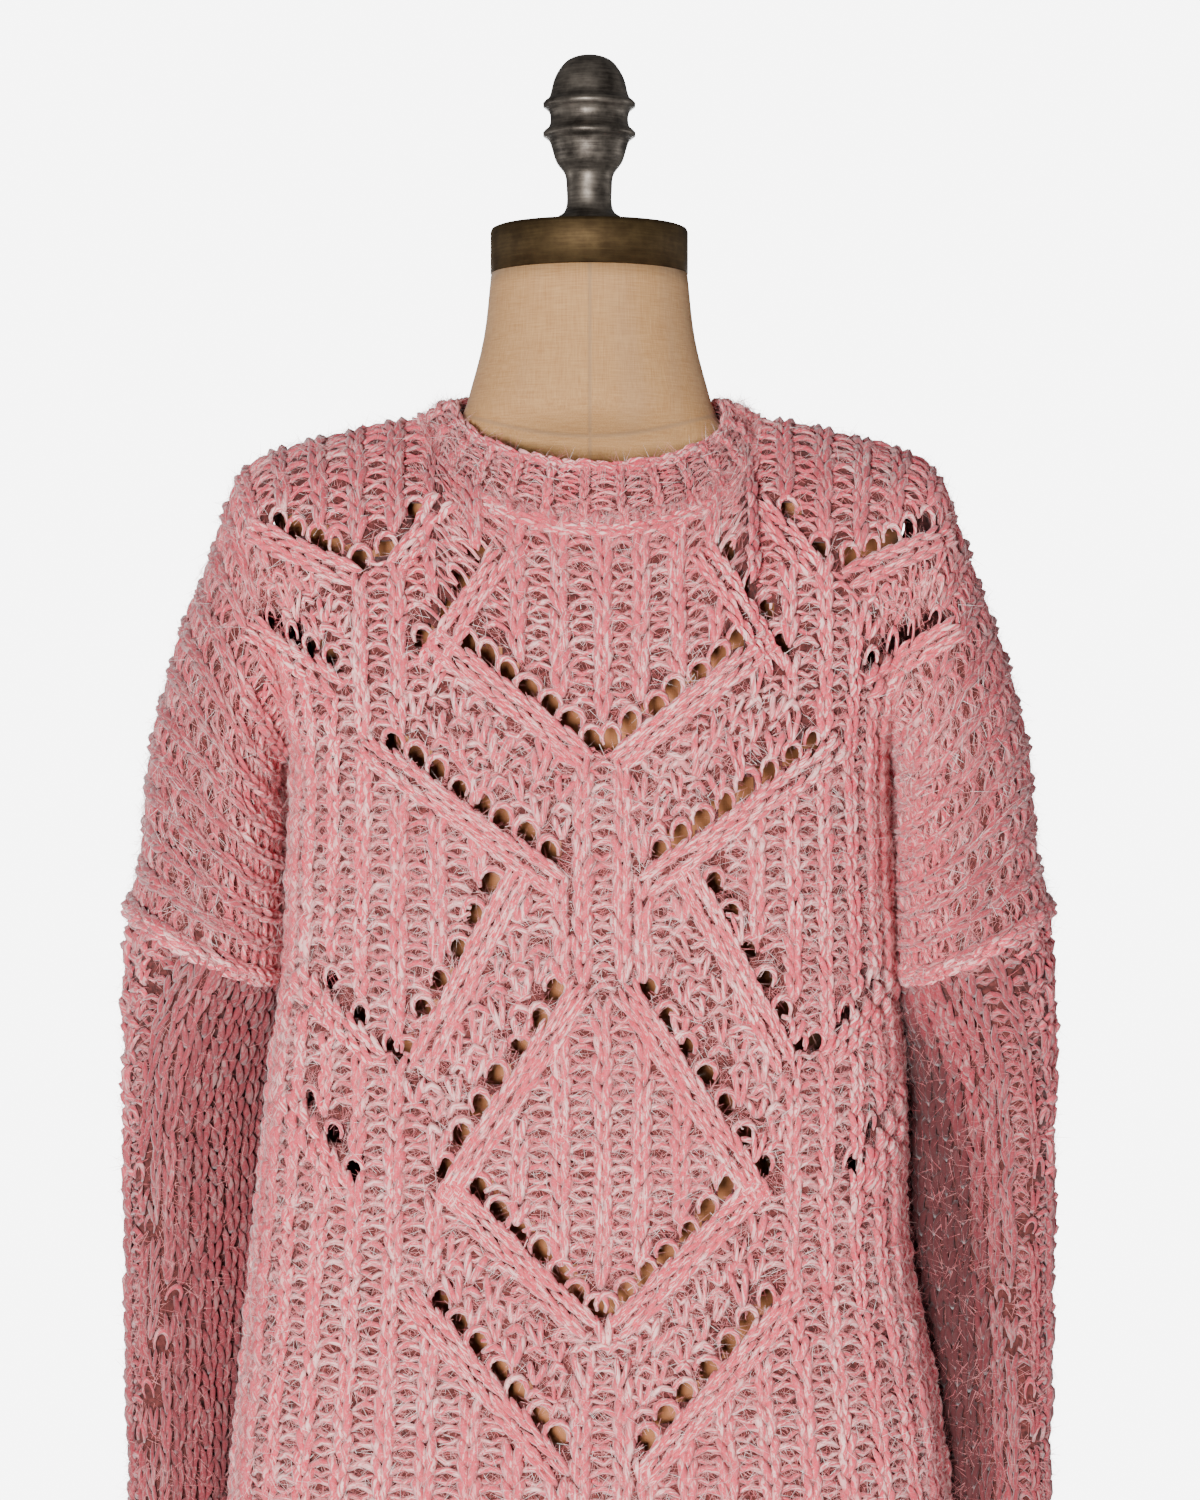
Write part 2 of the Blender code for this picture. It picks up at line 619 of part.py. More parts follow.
def dress_form(linen):
    """Bust, waist and neck in one smooth body, closed above and below."""
    around = 26
    bm = bmesh.new()
    rings = []
    for z, half, deep in zip(FORM_T["z"], FORM_T["half_width"], FORM_T["half_depth"]):
        ring = []
        for k in range(around):
            angle = 2 * math.pi * k / around
            ring.append(bm.verts.new((half * math.cos(angle), deep * math.sin(angle), z)))
        rings.append(ring)
    for low, high in zip(rings, rings[1:]):
        for k in range(around):
            face = bm.faces.new((low[k], low[(k + 1) % around], high[(k + 1) % around], high[k]))
            face.smooth = True
    bm.faces.new(rings[0])
    bm.faces.new(rings[-1])
    return add_object("dress_form", bm, linen)


def turned(name, profile, made_of, steps=16):
    """A turned piece: a profile of (radius, height), from top to bottom, spun about Z."""
    mesh = bpy.data.meshes.new(name)
    points = [(r, 0.0, z) for r, z in profile]
    mesh.from_pydata(points, [(k, k + 1) for k in range(len(points) - 1)], [])
    mesh.materials.append(made_of)
    obj = bpy.data.objects.new(name, mesh)
    COLLECTION.objects.link(obj)
    screw = obj.modifiers.new("turn", "SCREW")
    screw.axis = "Z"
    screw.steps = screw.render_steps = steps
    screw.use_merge_vertices = True
    screw.merge_threshold = 0.00001
    screw.use_smooth_shade = True
    return obj


def stand(iron, bronze):
    finial = [(r, z) for r, z in zip(table(FINIAL)["r"], table(FINIAL)["z"])][::-1]
    turned("finial", finial + [(0.0, finial[-1][1])], iron, steps=14)
    edge = 0.0025
    turned("neck_cap", [(0.0, CAP_HIGH), (CAP_RADIUS - edge, CAP_HIGH), (CAP_RADIUS, CAP_HIGH - edge),
                        (CAP_RADIUS, CAP_LOW), (0.0, CAP_LOW)], bronze, steps=28)
    form_low = FORM_T["z"][0]
    collar, flare = 0.030, 0.045
    turned("pole_collar", [(0.0, form_low - SEAM_GAP), (0.026, form_low - SEAM_GAP),
                           (0.026, form_low - 0.010), (0.018, form_low - collar),
                           (0.0, form_low - collar)], iron)
    base_top, base_edge = 0.030, 0.012
    turned("pole", [(0.0, form_low - collar - SEAM_GAP), (POLE_RADIUS, form_low - collar - SEAM_GAP),
                    (POLE_RADIUS, base_top + SEAM_GAP), (0.0, base_top + SEAM_GAP)], iron)
    turned("base", [(0.0, base_top), (0.020, base_top), (flare, base_top - 0.008),
                    (BASE_RADIUS - 0.012, base_edge), (BASE_RADIUS - 0.003, base_edge - 0.003),
                    (BASE_RADIUS, base_edge - 0.007), (BASE_RADIUS, 0.0), (0.0, 0.0)], iron, steps=28)


def build():
    wool = material("pink_mohair_wool", (0.62, 0.31, 0.33), 0.9)
    linen = material("natural_linen", (0.58, 0.43, 0.28), 0.85)
    iron = material("dark_iron", (0.10, 0.09, 0.08), 0.45, 0.8)
    bronze = material("aged_bronze", (0.11, 0.075, 0.04), 0.4, 0.8)
    knitted_panel("front", False, wool)
    knitted_panel("back", True, wool)
    for label, side in (("left", -1), ("right", 1)):
        for part, back in (("front", False), ("back", True)):
            sleeve_half(f"sleeve_{label}_{part}", side, back, wool)
        cuff(f"cuff_{label}", side, wool)
    hem_band("hem_front", False, wool)
    hem_band("hem_back", True, wool)
    neckband(wool)
    dress_form(linen)
    stand(iron, bronze)


build()
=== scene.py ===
"""The knit, the linen form and the metal fittings of a wool sweater on a dress form.

Metres, +Z up, the front faces -Y. The cloth lies on the same sections as the solids.
Each knitted piece is a thin backing cloth with its yarn laid on it: raised wales,
purl rungs between them, moss bumps, travelling ridges and rims round the eyelets.
"""

import math

import bmesh
import bpy
import numpy as np
from mathutils import Matrix, Vector


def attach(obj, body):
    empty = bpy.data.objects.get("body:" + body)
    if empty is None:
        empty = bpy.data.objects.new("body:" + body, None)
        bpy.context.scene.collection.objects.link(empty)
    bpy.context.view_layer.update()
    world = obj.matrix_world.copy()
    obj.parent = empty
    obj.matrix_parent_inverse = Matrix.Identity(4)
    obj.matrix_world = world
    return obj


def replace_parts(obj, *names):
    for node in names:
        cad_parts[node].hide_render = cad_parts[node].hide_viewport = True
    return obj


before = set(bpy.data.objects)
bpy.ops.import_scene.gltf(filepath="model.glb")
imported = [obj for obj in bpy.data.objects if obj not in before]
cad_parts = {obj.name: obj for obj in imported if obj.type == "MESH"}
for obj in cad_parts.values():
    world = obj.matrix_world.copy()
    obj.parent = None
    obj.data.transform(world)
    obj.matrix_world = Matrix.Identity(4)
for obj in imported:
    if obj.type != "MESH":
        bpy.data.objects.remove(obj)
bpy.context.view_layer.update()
RANDOM = np.random.default_rng(11)


def table(names, *rows):
    """The columns of a table, each under its name."""
    return {name: np.array([row[i] for row in rows], float) for i, name in enumerate(names)}


# Knitted cloth
RIB = 0.0215          # width of a raised wale with its purl column
STITCH = 0.0108       # height of one row
FINE_STITCH = 0.0056  # height of one row of the neckband
CHAIN = 0.0088        # length of one stitch of a seam or a travelling ridge
BACKING = 0.0020      # thickness of the cloth under the yarns
SEAM = 0.0003         # room between the cloth of two pieces
PANEL_TURN = 0.0075   # how far the front is turned to one side
BODY_RIBS, ARM_RIBS = 11, 9
FULL_RIBS = BODY_RIBS + ARM_RIBS
SLEEVE_RIBS, CUFF_RIBS, NECK_RIBS = 16, 11, 27

# How unevenly a hand lays a stitch: its turn, its place and its size
UNEVEN_TURN, UNEVEN_PLACE, UNEVEN_SIZE = 0.09, 0.00045, 0.07

# The fineness of the cloth under the yarns, across and up, below the armpits and above them
CLOTH_STEPS = {"front": ((110, 78), (200, 48)), "back": ((64, 30), (112, 20))}

# The yarn is four-sided, and its plies wind round it by this angle per metre
YARN_SIDES, TWIST = 4, 260.0

# How far each thing keeps from the middle of an eyelet
CLEAR = {"ribs": 0.0088, "sleeve": 0.0082, "cloth": 0.0070, "hairs": 0.0075}

# One mohair fibre, and how it leans out, rolls, varies in length and stands off the yarn
HAIR_WIDTH, HAIR_LENGTH = 0.00027, 0.0120
HAIR_LEAN, HAIR_ROLL = 0.22, 0.6
HAIR_SIZES, HAIR_LIFTS, HAIR_REACH = (0.5, 1.35), (0.0012, 0.0042), 0.004

# How much painted shade darkens the wool of each part, from 0 to 1
PAINTED_SHADE_BY_PART = {"shoulders": 0.50, "neckband": 0.36, "outer_arms": 0.62, "sleeve_rims": 0.6, "sleeve_moss": 0.52}
# Painted shade on all of a sleeve, and more of it on the smooth knit inside the left arm
SLEEVE_PAINTED_SHADE, INNER_ARM_PAINTED_SHADE = 0.70, 0.82
INNER_RIBS, BACK_RIB = (5.5, 9.5), 13   # ribs inside the arm, and the one where the deepest painted shade ends
# The height and the width where the painted shade starts, and how far it takes to come in
SHOULDER_START, SHOULDER_FADE = 1.375, 0.080
ARM_START, ARM_FADE = 0.15, 0.06

# Heights and widths of the garment
HEM_END, HEM_SEAM, ARMPIT = 0.800, 0.860, 1.300
BODY_SQUARE = {"front": 2.5, "back": 2.1}
NECK_HALF_WIDTH = 0.090
FRONT_NECK = {"depth": 0.097, "low": 1.429}
BACK_NECK = {"depth": 0.070, "low": 1.484}

BODY = table(
    ("z", "left", "right", "front", "back"),
    (0.800, 0.191, 0.191, 0.112, 0.108),
    (0.860, 0.196, 0.197, 0.116, 0.112),
    (0.950, 0.189, 0.187, 0.112, 0.108),
    (1.030, 0.182, 0.172, 0.110, 0.104),
    (1.100, 0.175, 0.171, 0.113, 0.104),
    (1.180, 0.1670, 0.1670, 0.119, 0.103),
    (1.250, 0.1635, 0.1635, 0.122, 0.102),
    (1.300, 0.162, 0.162, 0.121, 0.101),
)
SHOULDER = table(
    ("x", "z"),
    (0.0900, 1.4860), (0.1075, 1.4845), (0.1395, 1.4778), (0.1660, 1.4708),
    (0.1845, 1.4635), (0.1935, 1.4560), (0.1990, 1.4440), (0.2040, 1.4280),
    (0.2150, 1.3960), (0.2260, 1.3650), (0.2345, 1.3340), (0.2410, 1.3020),
    (0.2440, 1.2690), (0.2465, 1.2420), (0.2535, 1.2180),
)
# How each wale leaves its lower end and meets the top edge, as handles of a curve
WALES = table(
    ("rib", "low_side", "low_fore", "low_up", "top_side", "top_fore", "top_up", "back_fore", "back_up"),
    (0.0, 0.000, 0.000, 0.045, 0.000, 0.006, -0.040, 0.030, -0.030),
    (2.0, 0.000, 0.000, 0.045, 0.000, 0.012, -0.038, 0.036, -0.026),
    (4.0, 0.001, 0.000, 0.050, -0.001, 0.052, -0.016, 0.058, -0.016),
    (6.0, 0.003, 0.004, 0.055, -0.003, 0.074, -0.010, 0.074, -0.010),
    (8.0, 0.004, 0.012, 0.055, -0.006, 0.082, -0.012, 0.082, -0.012),
    (10.0, 0.002, 0.050, 0.042, -0.010, 0.086, -0.018, 0.086, -0.018),
    (11.0, 0.000, 0.086, 0.026, -0.008, 0.090, -0.016, 0.090, -0.016),
    (12.0, 0.000, 0.094, 0.010, -0.006, 0.096, -0.010, 0.096, -0.010),
    (15.0, -0.002, 0.104, -0.006, 0.000, 0.106, 0.000, 0.106, 0.000),
    (20.0, -0.002, 0.112, -0.008, 0.002, 0.112, 0.004, 0.112, 0.004),
)
UNDERARM = table(
    ("rib", "x", "z"),
    (11.0, 0.162, 1.300), (11.5, 0.1672, 1.302), (12.0, 0.1715, 1.296),
    (15.0, 0.1735, 1.256), (20.0, 0.1745, 1.180),
)
SLEEVE = table(
    ("z", "x", "y", "long", "short", "turn", "rise"),
    (1.199, 0.2140, 0.000, 0.0840, 0.0395, 0.0, 0.0390),
    (1.165, 0.2150, 0.008, 0.0815, 0.0375, 10.0, 0.0200),
    (1.120, 0.2155, 0.020, 0.0760, 0.0320, 19.0, 0.0060),
    (1.020, 0.2160, 0.034, 0.0670, 0.0290, 26.0, 0.0000),
    (0.930, 0.2190, 0.042, 0.0600, 0.0260, 28.0, 0.0000),
    (0.860, 0.2205, 0.045, 0.0560, 0.0240, 28.0, 0.0000),
    (0.828, 0.2205, 0.045, 0.0480, 0.0235, 28.0, 0.0000),
)
CUFF = table(
    ("z", "x", "y", "long", "short", "turn", "rise"),
    (0.828, 0.2205, 0.045, 0.0420, 0.0215, 28.0, 0.0),
    (0.768, 0.2205, 0.045, 0.0420, 0.0225, 28.0, 0.0),
)
NECKBAND = table(
    ("half_width", "front", "back", "front_z", "back_z", "side_z"),
    (0.0938, 0.1004, 0.0718, 1.4185, 1.4826, 1.4862),
    (0.0895, 0.0962, 0.0682, 1.4265, 1.4854, 1.4898),
    (0.0832, 0.0888, 0.0645, 1.4420, 1.4955, 1.4940),
    (0.0760, 0.0790, 0.0625, 1.4550, 1.5005, 1.4940),
)
# Lines of eyelets on one half of a panel: ends across and up, how many, which side the
# travelling ridge runs on, how far it runs on past each end, and whether the back has it
EYELETS = table(
    ("x0", "z0", "x1", "z1", "count", "ridge", "before", "after", "back"),
    (0.0717, 1.3614, 0.0053, 1.3094, 7, 1, 0.014, 0.004, 1),
    (0.1115, 1.3083, 0.0292, 1.2499, 8, 1, 0.012, 0.014, 1),
    (0.0664, 1.4092, 0.0956, 1.3614, 4, -1, 0.006, 0.010, 0),
    (0.0584, 1.2340, 0.1035, 1.1464, 6, -1, 0.012, 0.006, 1),
    (0.1460, 1.1782, 0.1130, 1.1464, 3, 1, 0.016, 0.000, 0),
    (0.0239, 1.1782, 0.0850, 1.0826, 7, -1, 0.006, 0.016, 1),
    (0.0664, 1.0694, 0.0027, 1.0056, 7, 1, 0.014, 0.004, 1),
    (0.0876, 1.0110, 0.0239, 0.9366, 7, 1, 0.012, 0.014, 1),
    (0.1577, 1.1145, 0.1322, 1.0800, 3, 1, 0.008, 0.006, 0),
    (0.1780, 1.4285, 0.1326, 1.4075, 5, 1, 0.010, 0.004, 1),
    (0.1177, 1.4120, 0.1010, 1.4340, 2, 1, 0.006, 0.012, 0),
    (0.1800, 1.3740, 0.1450, 1.3525, 4, 1, 0.008, 0.010, 0),
)
MOSS = ((0, 1), (3, 5), (6, 7), (9, 11))   # bands of moss stitch lie between these lines
SLEEVE_EYELETS = table(
    ("rib", "top", "bottom", "rib_step", "count"),
    (2.75, 1.130, 1.040, 0.5, 4),
    (5.25, 1.000, 0.920, -0.5, 4),
)
SMOOTH_RIBS = {-1: (4.5, 9.5), 1: (5.5, 9.5)}   # the close smooth knit inside each arm
# Moss stitch on the arm's outer fold: its ribs and lower end, and one last rib with its own
MOSS_RIBS, MOSS_LOW, LAST_MOSS_RIB, LAST_MOSS_LOW = (0.5, 2.5), 0.935, 3, 1.06
# Where the deepest painted shade inside each arm begins
ARM_PAINTED_SHADE_EDGE = {
    -1: table(("z", "rib"), (0.86, 6.2), (0.93, 6.8), (1.00, 7.6), (1.10, 9.0)),
    1: table(("z", "rib"), (0.93, 5.2), (1.03, 5.3), (1.12, 5.9), (1.17, 6.9)),
}
# How far the ridges lie from a line of eyelets, and where a stem of rungs runs up the centre
RIDGE_BAND, RIDGE_CHAINS = (0.002, 0.0190), (0.0074, 0.0152)
STEM_HALF_WIDTH, STEM_HIGH, STEM_LOW = 0.028, (1.176, 1.296), 0.992

FORM = table(
    ("z", "half_width", "half_depth"),
    (0.742, 0.140, 0.088), (0.748, 0.156, 0.098), (0.860, 0.164, 0.101),
    (0.950, 0.150, 0.096), (1.060, 0.120, 0.086), (1.150, 0.134, 0.092),
    (1.250, 0.145, 0.095), (1.330, 0.150, 0.091), (1.390, 0.163, 0.076),
    (1.425, 0.175, 0.057), (1.444, 0.1765, 0.047), (1.4560, 0.166, 0.0405),
    (1.4645, 0.142, 0.0355), (1.4720, 0.102, 0.0350), (1.4785, 0.080, 0.0450),
    (1.4900, 0.0712, 0.0560), (1.5060, 0.0660, 0.0565), (1.5330, 0.0592, 0.0550),
    (1.5692, 0.0550, 0.0550),
)
FORM_FOOT, FORM_SIDE = (0.745, 0.748), 0.760   # close rings round the form's lower edge, then even ones

# The metal fittings, as profiles to turn
FINIAL = table(
    ("radius", "z"),
    (0.0000, 1.5953), (0.0185, 1.5953), (0.0190, 1.5990), (0.0180, 1.6012), (0.0145, 1.6035),
    (0.0128, 1.6075), (0.0127, 1.6170), (0.0136, 1.6250), (0.0184, 1.6320), (0.0213, 1.6410),
    (0.0224, 1.6440), (0.0258, 1.6466), (0.0258, 1.6488), (0.0227, 1.6516), (0.0217, 1.6564),
    (0.0227, 1.6606), (0.0258, 1.6632), (0.0258, 1.6652), (0.0226, 1.6680), (0.0214, 1.6715),
    (0.0201, 1.6770), (0.0178, 1.6822), (0.0128, 1.6885), (0.0065, 1.6914), (0.0000, 1.6920),
)
COLLAR = table(
    ("radius", "z"),
    (0.0, 0.7417), (0.0250, 0.7417), (0.0262, 0.7400), (0.0260, 0.7320), (0.0215, 0.7220),
    (0.0180, 0.7130), (0.0165, 0.7120), (0.0, 0.7120),
)
POLE = table(("radius", "z"), (0.0, 0.7125), (0.0125, 0.7125), (0.0125, 0.0298), (0.0, 0.0298))
BASE = table(
    ("radius", "z"),
    (0.0, 0.0302), (0.0190, 0.0302), (0.0215, 0.0280), (0.0300, 0.0250), (0.0450, 0.0222),
    (0.1000, 0.0172), (0.1580, 0.0120), (0.1660, 0.0098), (0.1700, 0.0060), (0.1700, 0.0008),
    (0.1690, 0.0), (0.0, 0.0),
)
CAP = table(
    ("radius", "z"),
    (0.0, 1.5950), (0.0528, 1.5950), (0.05455, 1.59425), (0.0553, 1.5925), (0.0553, 1.5695), (0.0, 1.5695),
)

# The studio
LAMPS = (
    ("name", "place", "watts", "width"),
    ("key", (-0.6, -3.2, 1.02), 190, 0.6),
    ("fill", (1.8, -2.6, 1.5), 7, 1.6),
    ("behind", (0.0, 3.4, 1.0), 150, 1.6),
    ("left", (-3.3, 0.9, 1.0), 22, 1.2),
    ("right", (3.3, 0.9, 1.0), 22, 1.2),
)
ROOM_LIGHT, ROOM_SEEN = 0.17, 7.1
LENS, CAMERA_PLACE, AIM_HEIGHT = 94.3, (0.006, -2.2, 1.303), 1.25


def smooth(x, xs, ys):
    """A smooth curve through (xs, ys), read at x; xs may run up or down."""
    order = np.argsort(xs)
    xs, ys = np.asarray(xs)[order], np.asarray(ys)[order]
    x = float(np.clip(x, xs[0], xs[-1]))
    i = int(np.clip(np.searchsorted(xs, x) - 1, 0, len(xs) - 2))
    slopes = np.diff(ys) / np.diff(xs)
    left = slopes[i] if i == 0 else (slopes[i - 1] + slopes[i]) / 2
    right = slopes[i] if i == len(xs) - 2 else (slopes[i] + slopes[i + 1]) / 2
    step = xs[i + 1] - xs[i]
    t = (x - xs[i]) / step
    return ((2 * t**3 - 3 * t**2 + 1) * ys[i] + (t**3 - 2 * t**2 + t) * step * left
            + (3 * t**2 - 2 * t**3) * ys[i + 1] + (t**3 - t**2) * step * right)


def lengths(points):
    return np.r_[0, np.cumsum(np.linalg.norm(np.diff(points, axis=0), axis=1))]


def along(points, places):
    steps = lengths(points)
    return np.stack([np.interp(places, steps, points[:, k]) for k in range(points.shape[1])], axis=1)


def curve_through(rows, across, steps):
    """A fine line through a table of places across and heights."""
    places = lengths(np.stack([rows[across], rows["z"]], axis=1))
    fine = np.linspace(0, places[-1], steps)
    return np.array([[smooth(s, places, rows[across]), smooth(s, places, rows["z"])] for s in fine])


SHOULDER_LINE = curve_through(SHOULDER, "x", 200)
SHOULDER_LENGTH = lengths(SHOULDER_LINE)[-1]


def body_point(z, rib, back):
    """A point of the body below the armpit, this many ribs right of the panel's centre."""
    share = rib / BODY_RIBS
    turn = 0.0 if back else PANEL_TURN * (1 - abs(share))
    side = 1 if share * 0.2 + turn >= 0 else -1
    half = smooth(z, BODY["z"], BODY["right" if side > 0 else "left"])
    deep = smooth(z, BODY["z"], BODY["back" if back else "front"])
    angle = np.linspace(0, math.pi / 2, 90)
    power = 2 / BODY_SQUARE["back" if back else "front"]
    ring = np.stack([half * np.sin(angle) ** power, deep * np.cos(angle) ** power], axis=1)
    x, y = along(ring, [abs(share * lengths(ring)[-1] + turn)])[0]
    return np.array([x * side, y if back else -y, z])


def top_point(rib, back):
    side, x = (1 if rib >= 0 else -1), abs(rib) * RIB
    if x < NECK_HALF_WIDTH:
        neck = BACK_NECK if back else FRONT_NECK
        arc = math.sqrt(1 - (x / NECK_HALF_WIDTH) ** 2)
        z = SHOULDER_LINE[0, 1] - (SHOULDER_LINE[0, 1] - neck["low"]) * arc
        y = neck["depth"] * arc
    else:
        share = (x - NECK_HALF_WIDTH) / (FULL_RIBS * RIB - NECK_HALF_WIDTH)
        x, z = along(SHOULDER_LINE, [share * SHOULDER_LENGTH])[0]
        y = 0.0
    turn = 0.0 if back else PANEL_TURN * max(0.0, 1 - x / NECK_HALF_WIDTH)
    return np.array([x * side + turn, y if back else -y, z])


def wale_curve(rib, back):
    """The four handles of a wale above the armpit."""
    side, fore, ribs = (1 if rib >= 0 else -1), (1 if back else -1), abs(rib)
    if ribs <= BODY_RIBS:
        low = body_point(ARMPIT, rib, back)
    else:
        low = np.array([smooth(ribs, UNDERARM["rib"], UNDERARM["x"]) * side, 0.0,
                        smooth(ribs, UNDERARM["rib"], UNDERARM["z"])])
    top = top_point(rib, back)
    by = {name: smooth(ribs, WALES["rib"], WALES[name]) for name in WALES}
    top_fore, top_up = ("back_fore", "back_up") if back else ("top_fore", "top_up")
    leave = low + np.array([by["low_side"] * side, by["low_fore"] * fore, by["low_up"]])
    meet = top + np.array([by["top_side"] * side, by[top_fore] * fore, by[top_up]])
    return low, leave, meet, top


def yoke_points(rib, shares, back):
    low, leave, meet, top = wale_curve(rib, back)
    t = np.asarray(shares, float)[:, None]
    return (1 - t) ** 3 * low + 3 * t * (1 - t) ** 2 * leave + 3 * t**2 * (1 - t) * meet + t**3 * top


def ellipse_point(ring, share, side):
    """share runs once round from the outer side, front first."""
    angle, lean = 2 * math.pi * share, math.radians(ring["turn"])
    out, fore = ring["short"] * math.cos(angle), -ring["long"] * math.sin(angle)
    return np.array([(ring["x"] + out * math.cos(lean) - fore * math.sin(lean)) * side,
                     ring["y"] + out * math.sin(lean) + fore * math.cos(lean),
                     ring["z"] + ring["rise"] / 2 * math.cos(angle)])


def armhole_line(side, shares):
    """The sleeve's top edge, on the last wale of the front and of the back."""
    edges = {back: yoke_points(FULL_RIBS * side, np.linspace(0, 1, 41), back) for back in (False, True)}
    found = []
    for share in shares % 1:
        back = share > 0.5
        at = 2 * share - 1 if back else 1 - 2 * share
        found.append([np.interp(at, np.linspace(0, 1, 41), edges[back][:, k]) for k in range(3)])
    return np.array(found)


def sleeve_points(z, shares, side):
    ring = {name: smooth(z, SLEEVE["z"], SLEEVE[name]) for name in SLEEVE}
    points = np.array([ellipse_point(ring, share, side) for share in shares])
    top, next_ring = SLEEVE["z"][:2]
    blend = float(np.clip((z - next_ring) / (top - next_ring), 0, 1))
    return (1 - blend) * points + blend * armhole_line(side, shares)


class Patch:
    """A knitted surface: a grid of points, with ribs across and rows up."""

    def __init__(self, ribs, points, outward):
        self.ribs, self.points = np.asarray(ribs, float), np.asarray(points)
        across = np.gradient(self.points, self.ribs, axis=1)
        up = np.gradient(self.points, axis=0)
        normal = np.cross(across, up) * outward
        normal /= np.maximum(np.linalg.norm(normal, axis=2, keepdims=True), 1e-12)
        self.across, self.up, self.normal, self.outward = across, up, normal, outward

    def at(self, ribs, rows):
        """Point, across per rib, unit up and unit normal; rows run from 0 to 1."""
        height, width = self.points.shape[:2]
        column = np.interp(ribs, self.ribs, np.arange(width))
        row = np.clip(rows, 0, 1) * (height - 1)
        c = np.clip(column.astype(int), 0, width - 2)
        r = np.clip(row.astype(int), 0, height - 2)
        fc, fr = (column - c)[:, None], (row - r)[:, None]

        def mixed(grid):
            low = grid[r, c] * (1 - fc) + grid[r, c + 1] * fc
            return low * (1 - fr) + (grid[r + 1, c] * (1 - fc) + grid[r + 1, c + 1] * fc) * fr

        up, normal = mixed(self.up), mixed(self.normal)
        up /= np.maximum(np.linalg.norm(up, axis=1, keepdims=True), 1e-12)
        normal /= np.maximum(np.linalg.norm(normal, axis=1, keepdims=True), 1e-12)
        return mixed(self.points), mixed(self.across), up, normal

    def places(self, rib, pitch):
        """Even places up one wale, as shares of the height, and their spacing."""
        fine = np.linspace(0, 1, 90)
        steps = lengths(self.at(np.full(90, float(rib)), fine)[0])
        count = max(1, round(steps[-1] / pitch))
        middles = (np.arange(count) + 0.5) / count * steps[-1]
        return np.interp(middles, steps, fine), steps[-1] / count

    def frames(self, ribs, rows, wide=1.0, tall=1.0, spin=0.0, lift=0.0, loose=1.0):
        """Origins, and axes that carry a yarn shape drawn for one rib and one row.

        Hand knitting isn't even: each copy is a little turned, moved and sized.
        """
        origin, across, up, normal = self.at(ribs, rows)
        size = np.linalg.norm(across, axis=1, keepdims=True)
        across = across / np.maximum(size, 1e-9)
        count = len(origin)
        turn = (spin + RANDOM.normal(0, UNEVEN_TURN * loose, count))[:, None]
        first = across * np.cos(turn) + up * np.sin(turn)
        second = up * np.cos(turn) - across * np.sin(turn)
        drift = RANDOM.normal(0, UNEVEN_PLACE * loose, (count, 3))
        origin = origin + across * drift[:, :1] + up * drift[:, 1:2] + normal * (lift + drift[:, 2:])
        sizes = 1 + RANDOM.normal(0, UNEVEN_SIZE * loose, (count, 3))
        first = first * wide * np.clip(size / RIB, 0.5, 1.5) * sizes[:, :1]
        return origin, np.stack([first, second * tall * sizes[:, 1:2], normal * sizes[:, 2:]], axis=1)


def panel_patches(back):
    """The body below the armpit, and the yoke with both dropped shoulders."""
    outward = -1 if back else 1
    low_ribs = np.linspace(-BODY_RIBS, BODY_RIBS, 89)
    heights = np.linspace(HEM_SEAM + SEAM, ARMPIT, 24)
    body = [[body_point(z, rib, back) for rib in low_ribs] for z in heights]
    ribs = np.linspace(-FULL_RIBS, FULL_RIBS, 161)
    yoke = np.array([yoke_points(rib, np.linspace(0, 1, 33), back) for rib in ribs]).transpose(1, 0, 2)
    return Patch(low_ribs, body, outward), Patch(ribs, yoke, outward)


def hem_patch(back):
    ribs = np.linspace(-BODY_RIBS, BODY_RIBS, 89)
    rows = [[body_point(z, rib, back) for rib in ribs] for z in np.linspace(HEM_END, HEM_SEAM, 6)]
    return Patch(ribs, rows, -1 if back else 1)


def sleeve_patch(side):
    shares = np.linspace(0, 1, 65)
    heights = np.linspace(SLEEVE["z"][-1] + SEAM, SLEEVE["z"][0], 34)
    return Patch(shares * SLEEVE_RIBS, [sleeve_points(z, shares, side) for z in heights], -side)


def cuff_patch(side):
    shares = np.linspace(0, 1, 45)
    rings = []
    for k in np.linspace(1, 0, 5):
        ring = {name: float(np.interp(k, [0, 1], CUFF[name])) for name in CUFF}
        rings.append([ellipse_point(ring, share, side) for share in shares])
    return Patch(shares * CUFF_RIBS, rings, -side)


def neckband_patch():
    rings = []
    for k in np.linspace(0, 3, 13):
        ring = {name: smooth(k, [0, 1, 2, 3], NECKBAND[name]) for name in NECKBAND}
        points = []
        for angle in np.linspace(-math.pi, math.pi, 109):
            fore = math.cos(angle)
            deep, end = (ring["back"], ring["back_z"]) if fore < 0 else (ring["front"], ring["front_z"])
            turn = PANEL_TURN * max(0.0, fore)
            points.append((ring["half_width"] * math.sin(angle) + turn, -deep * fore,
                           ring["side_z"] + (end - ring["side_z"]) * abs(fore)))
        rings.append(points)
    return Patch(np.linspace(0, NECK_RIBS, 109), rings, 1)


def loft(bm, rings):
    """Walls between rings of vertices, with a face over each end."""
    edges = [{e for v in ring for e in v.link_edges} for ring in rings]
    for low, high in zip(edges, edges[1:]):
        bmesh.ops.bridge_loops(bm, edges=list(low | high))
    for end in (edges[0], edges[-1]):
        bmesh.ops.contextual_create(bm, geom=list(end))
    bmesh.ops.recalc_face_normals(bm, faces=bm.faces)


def mesh_of(bm, name):
    mesh = bpy.data.meshes.new(name)
    bm.to_mesh(mesh)
    bm.free()
    mesh.shade_smooth()
    return mesh


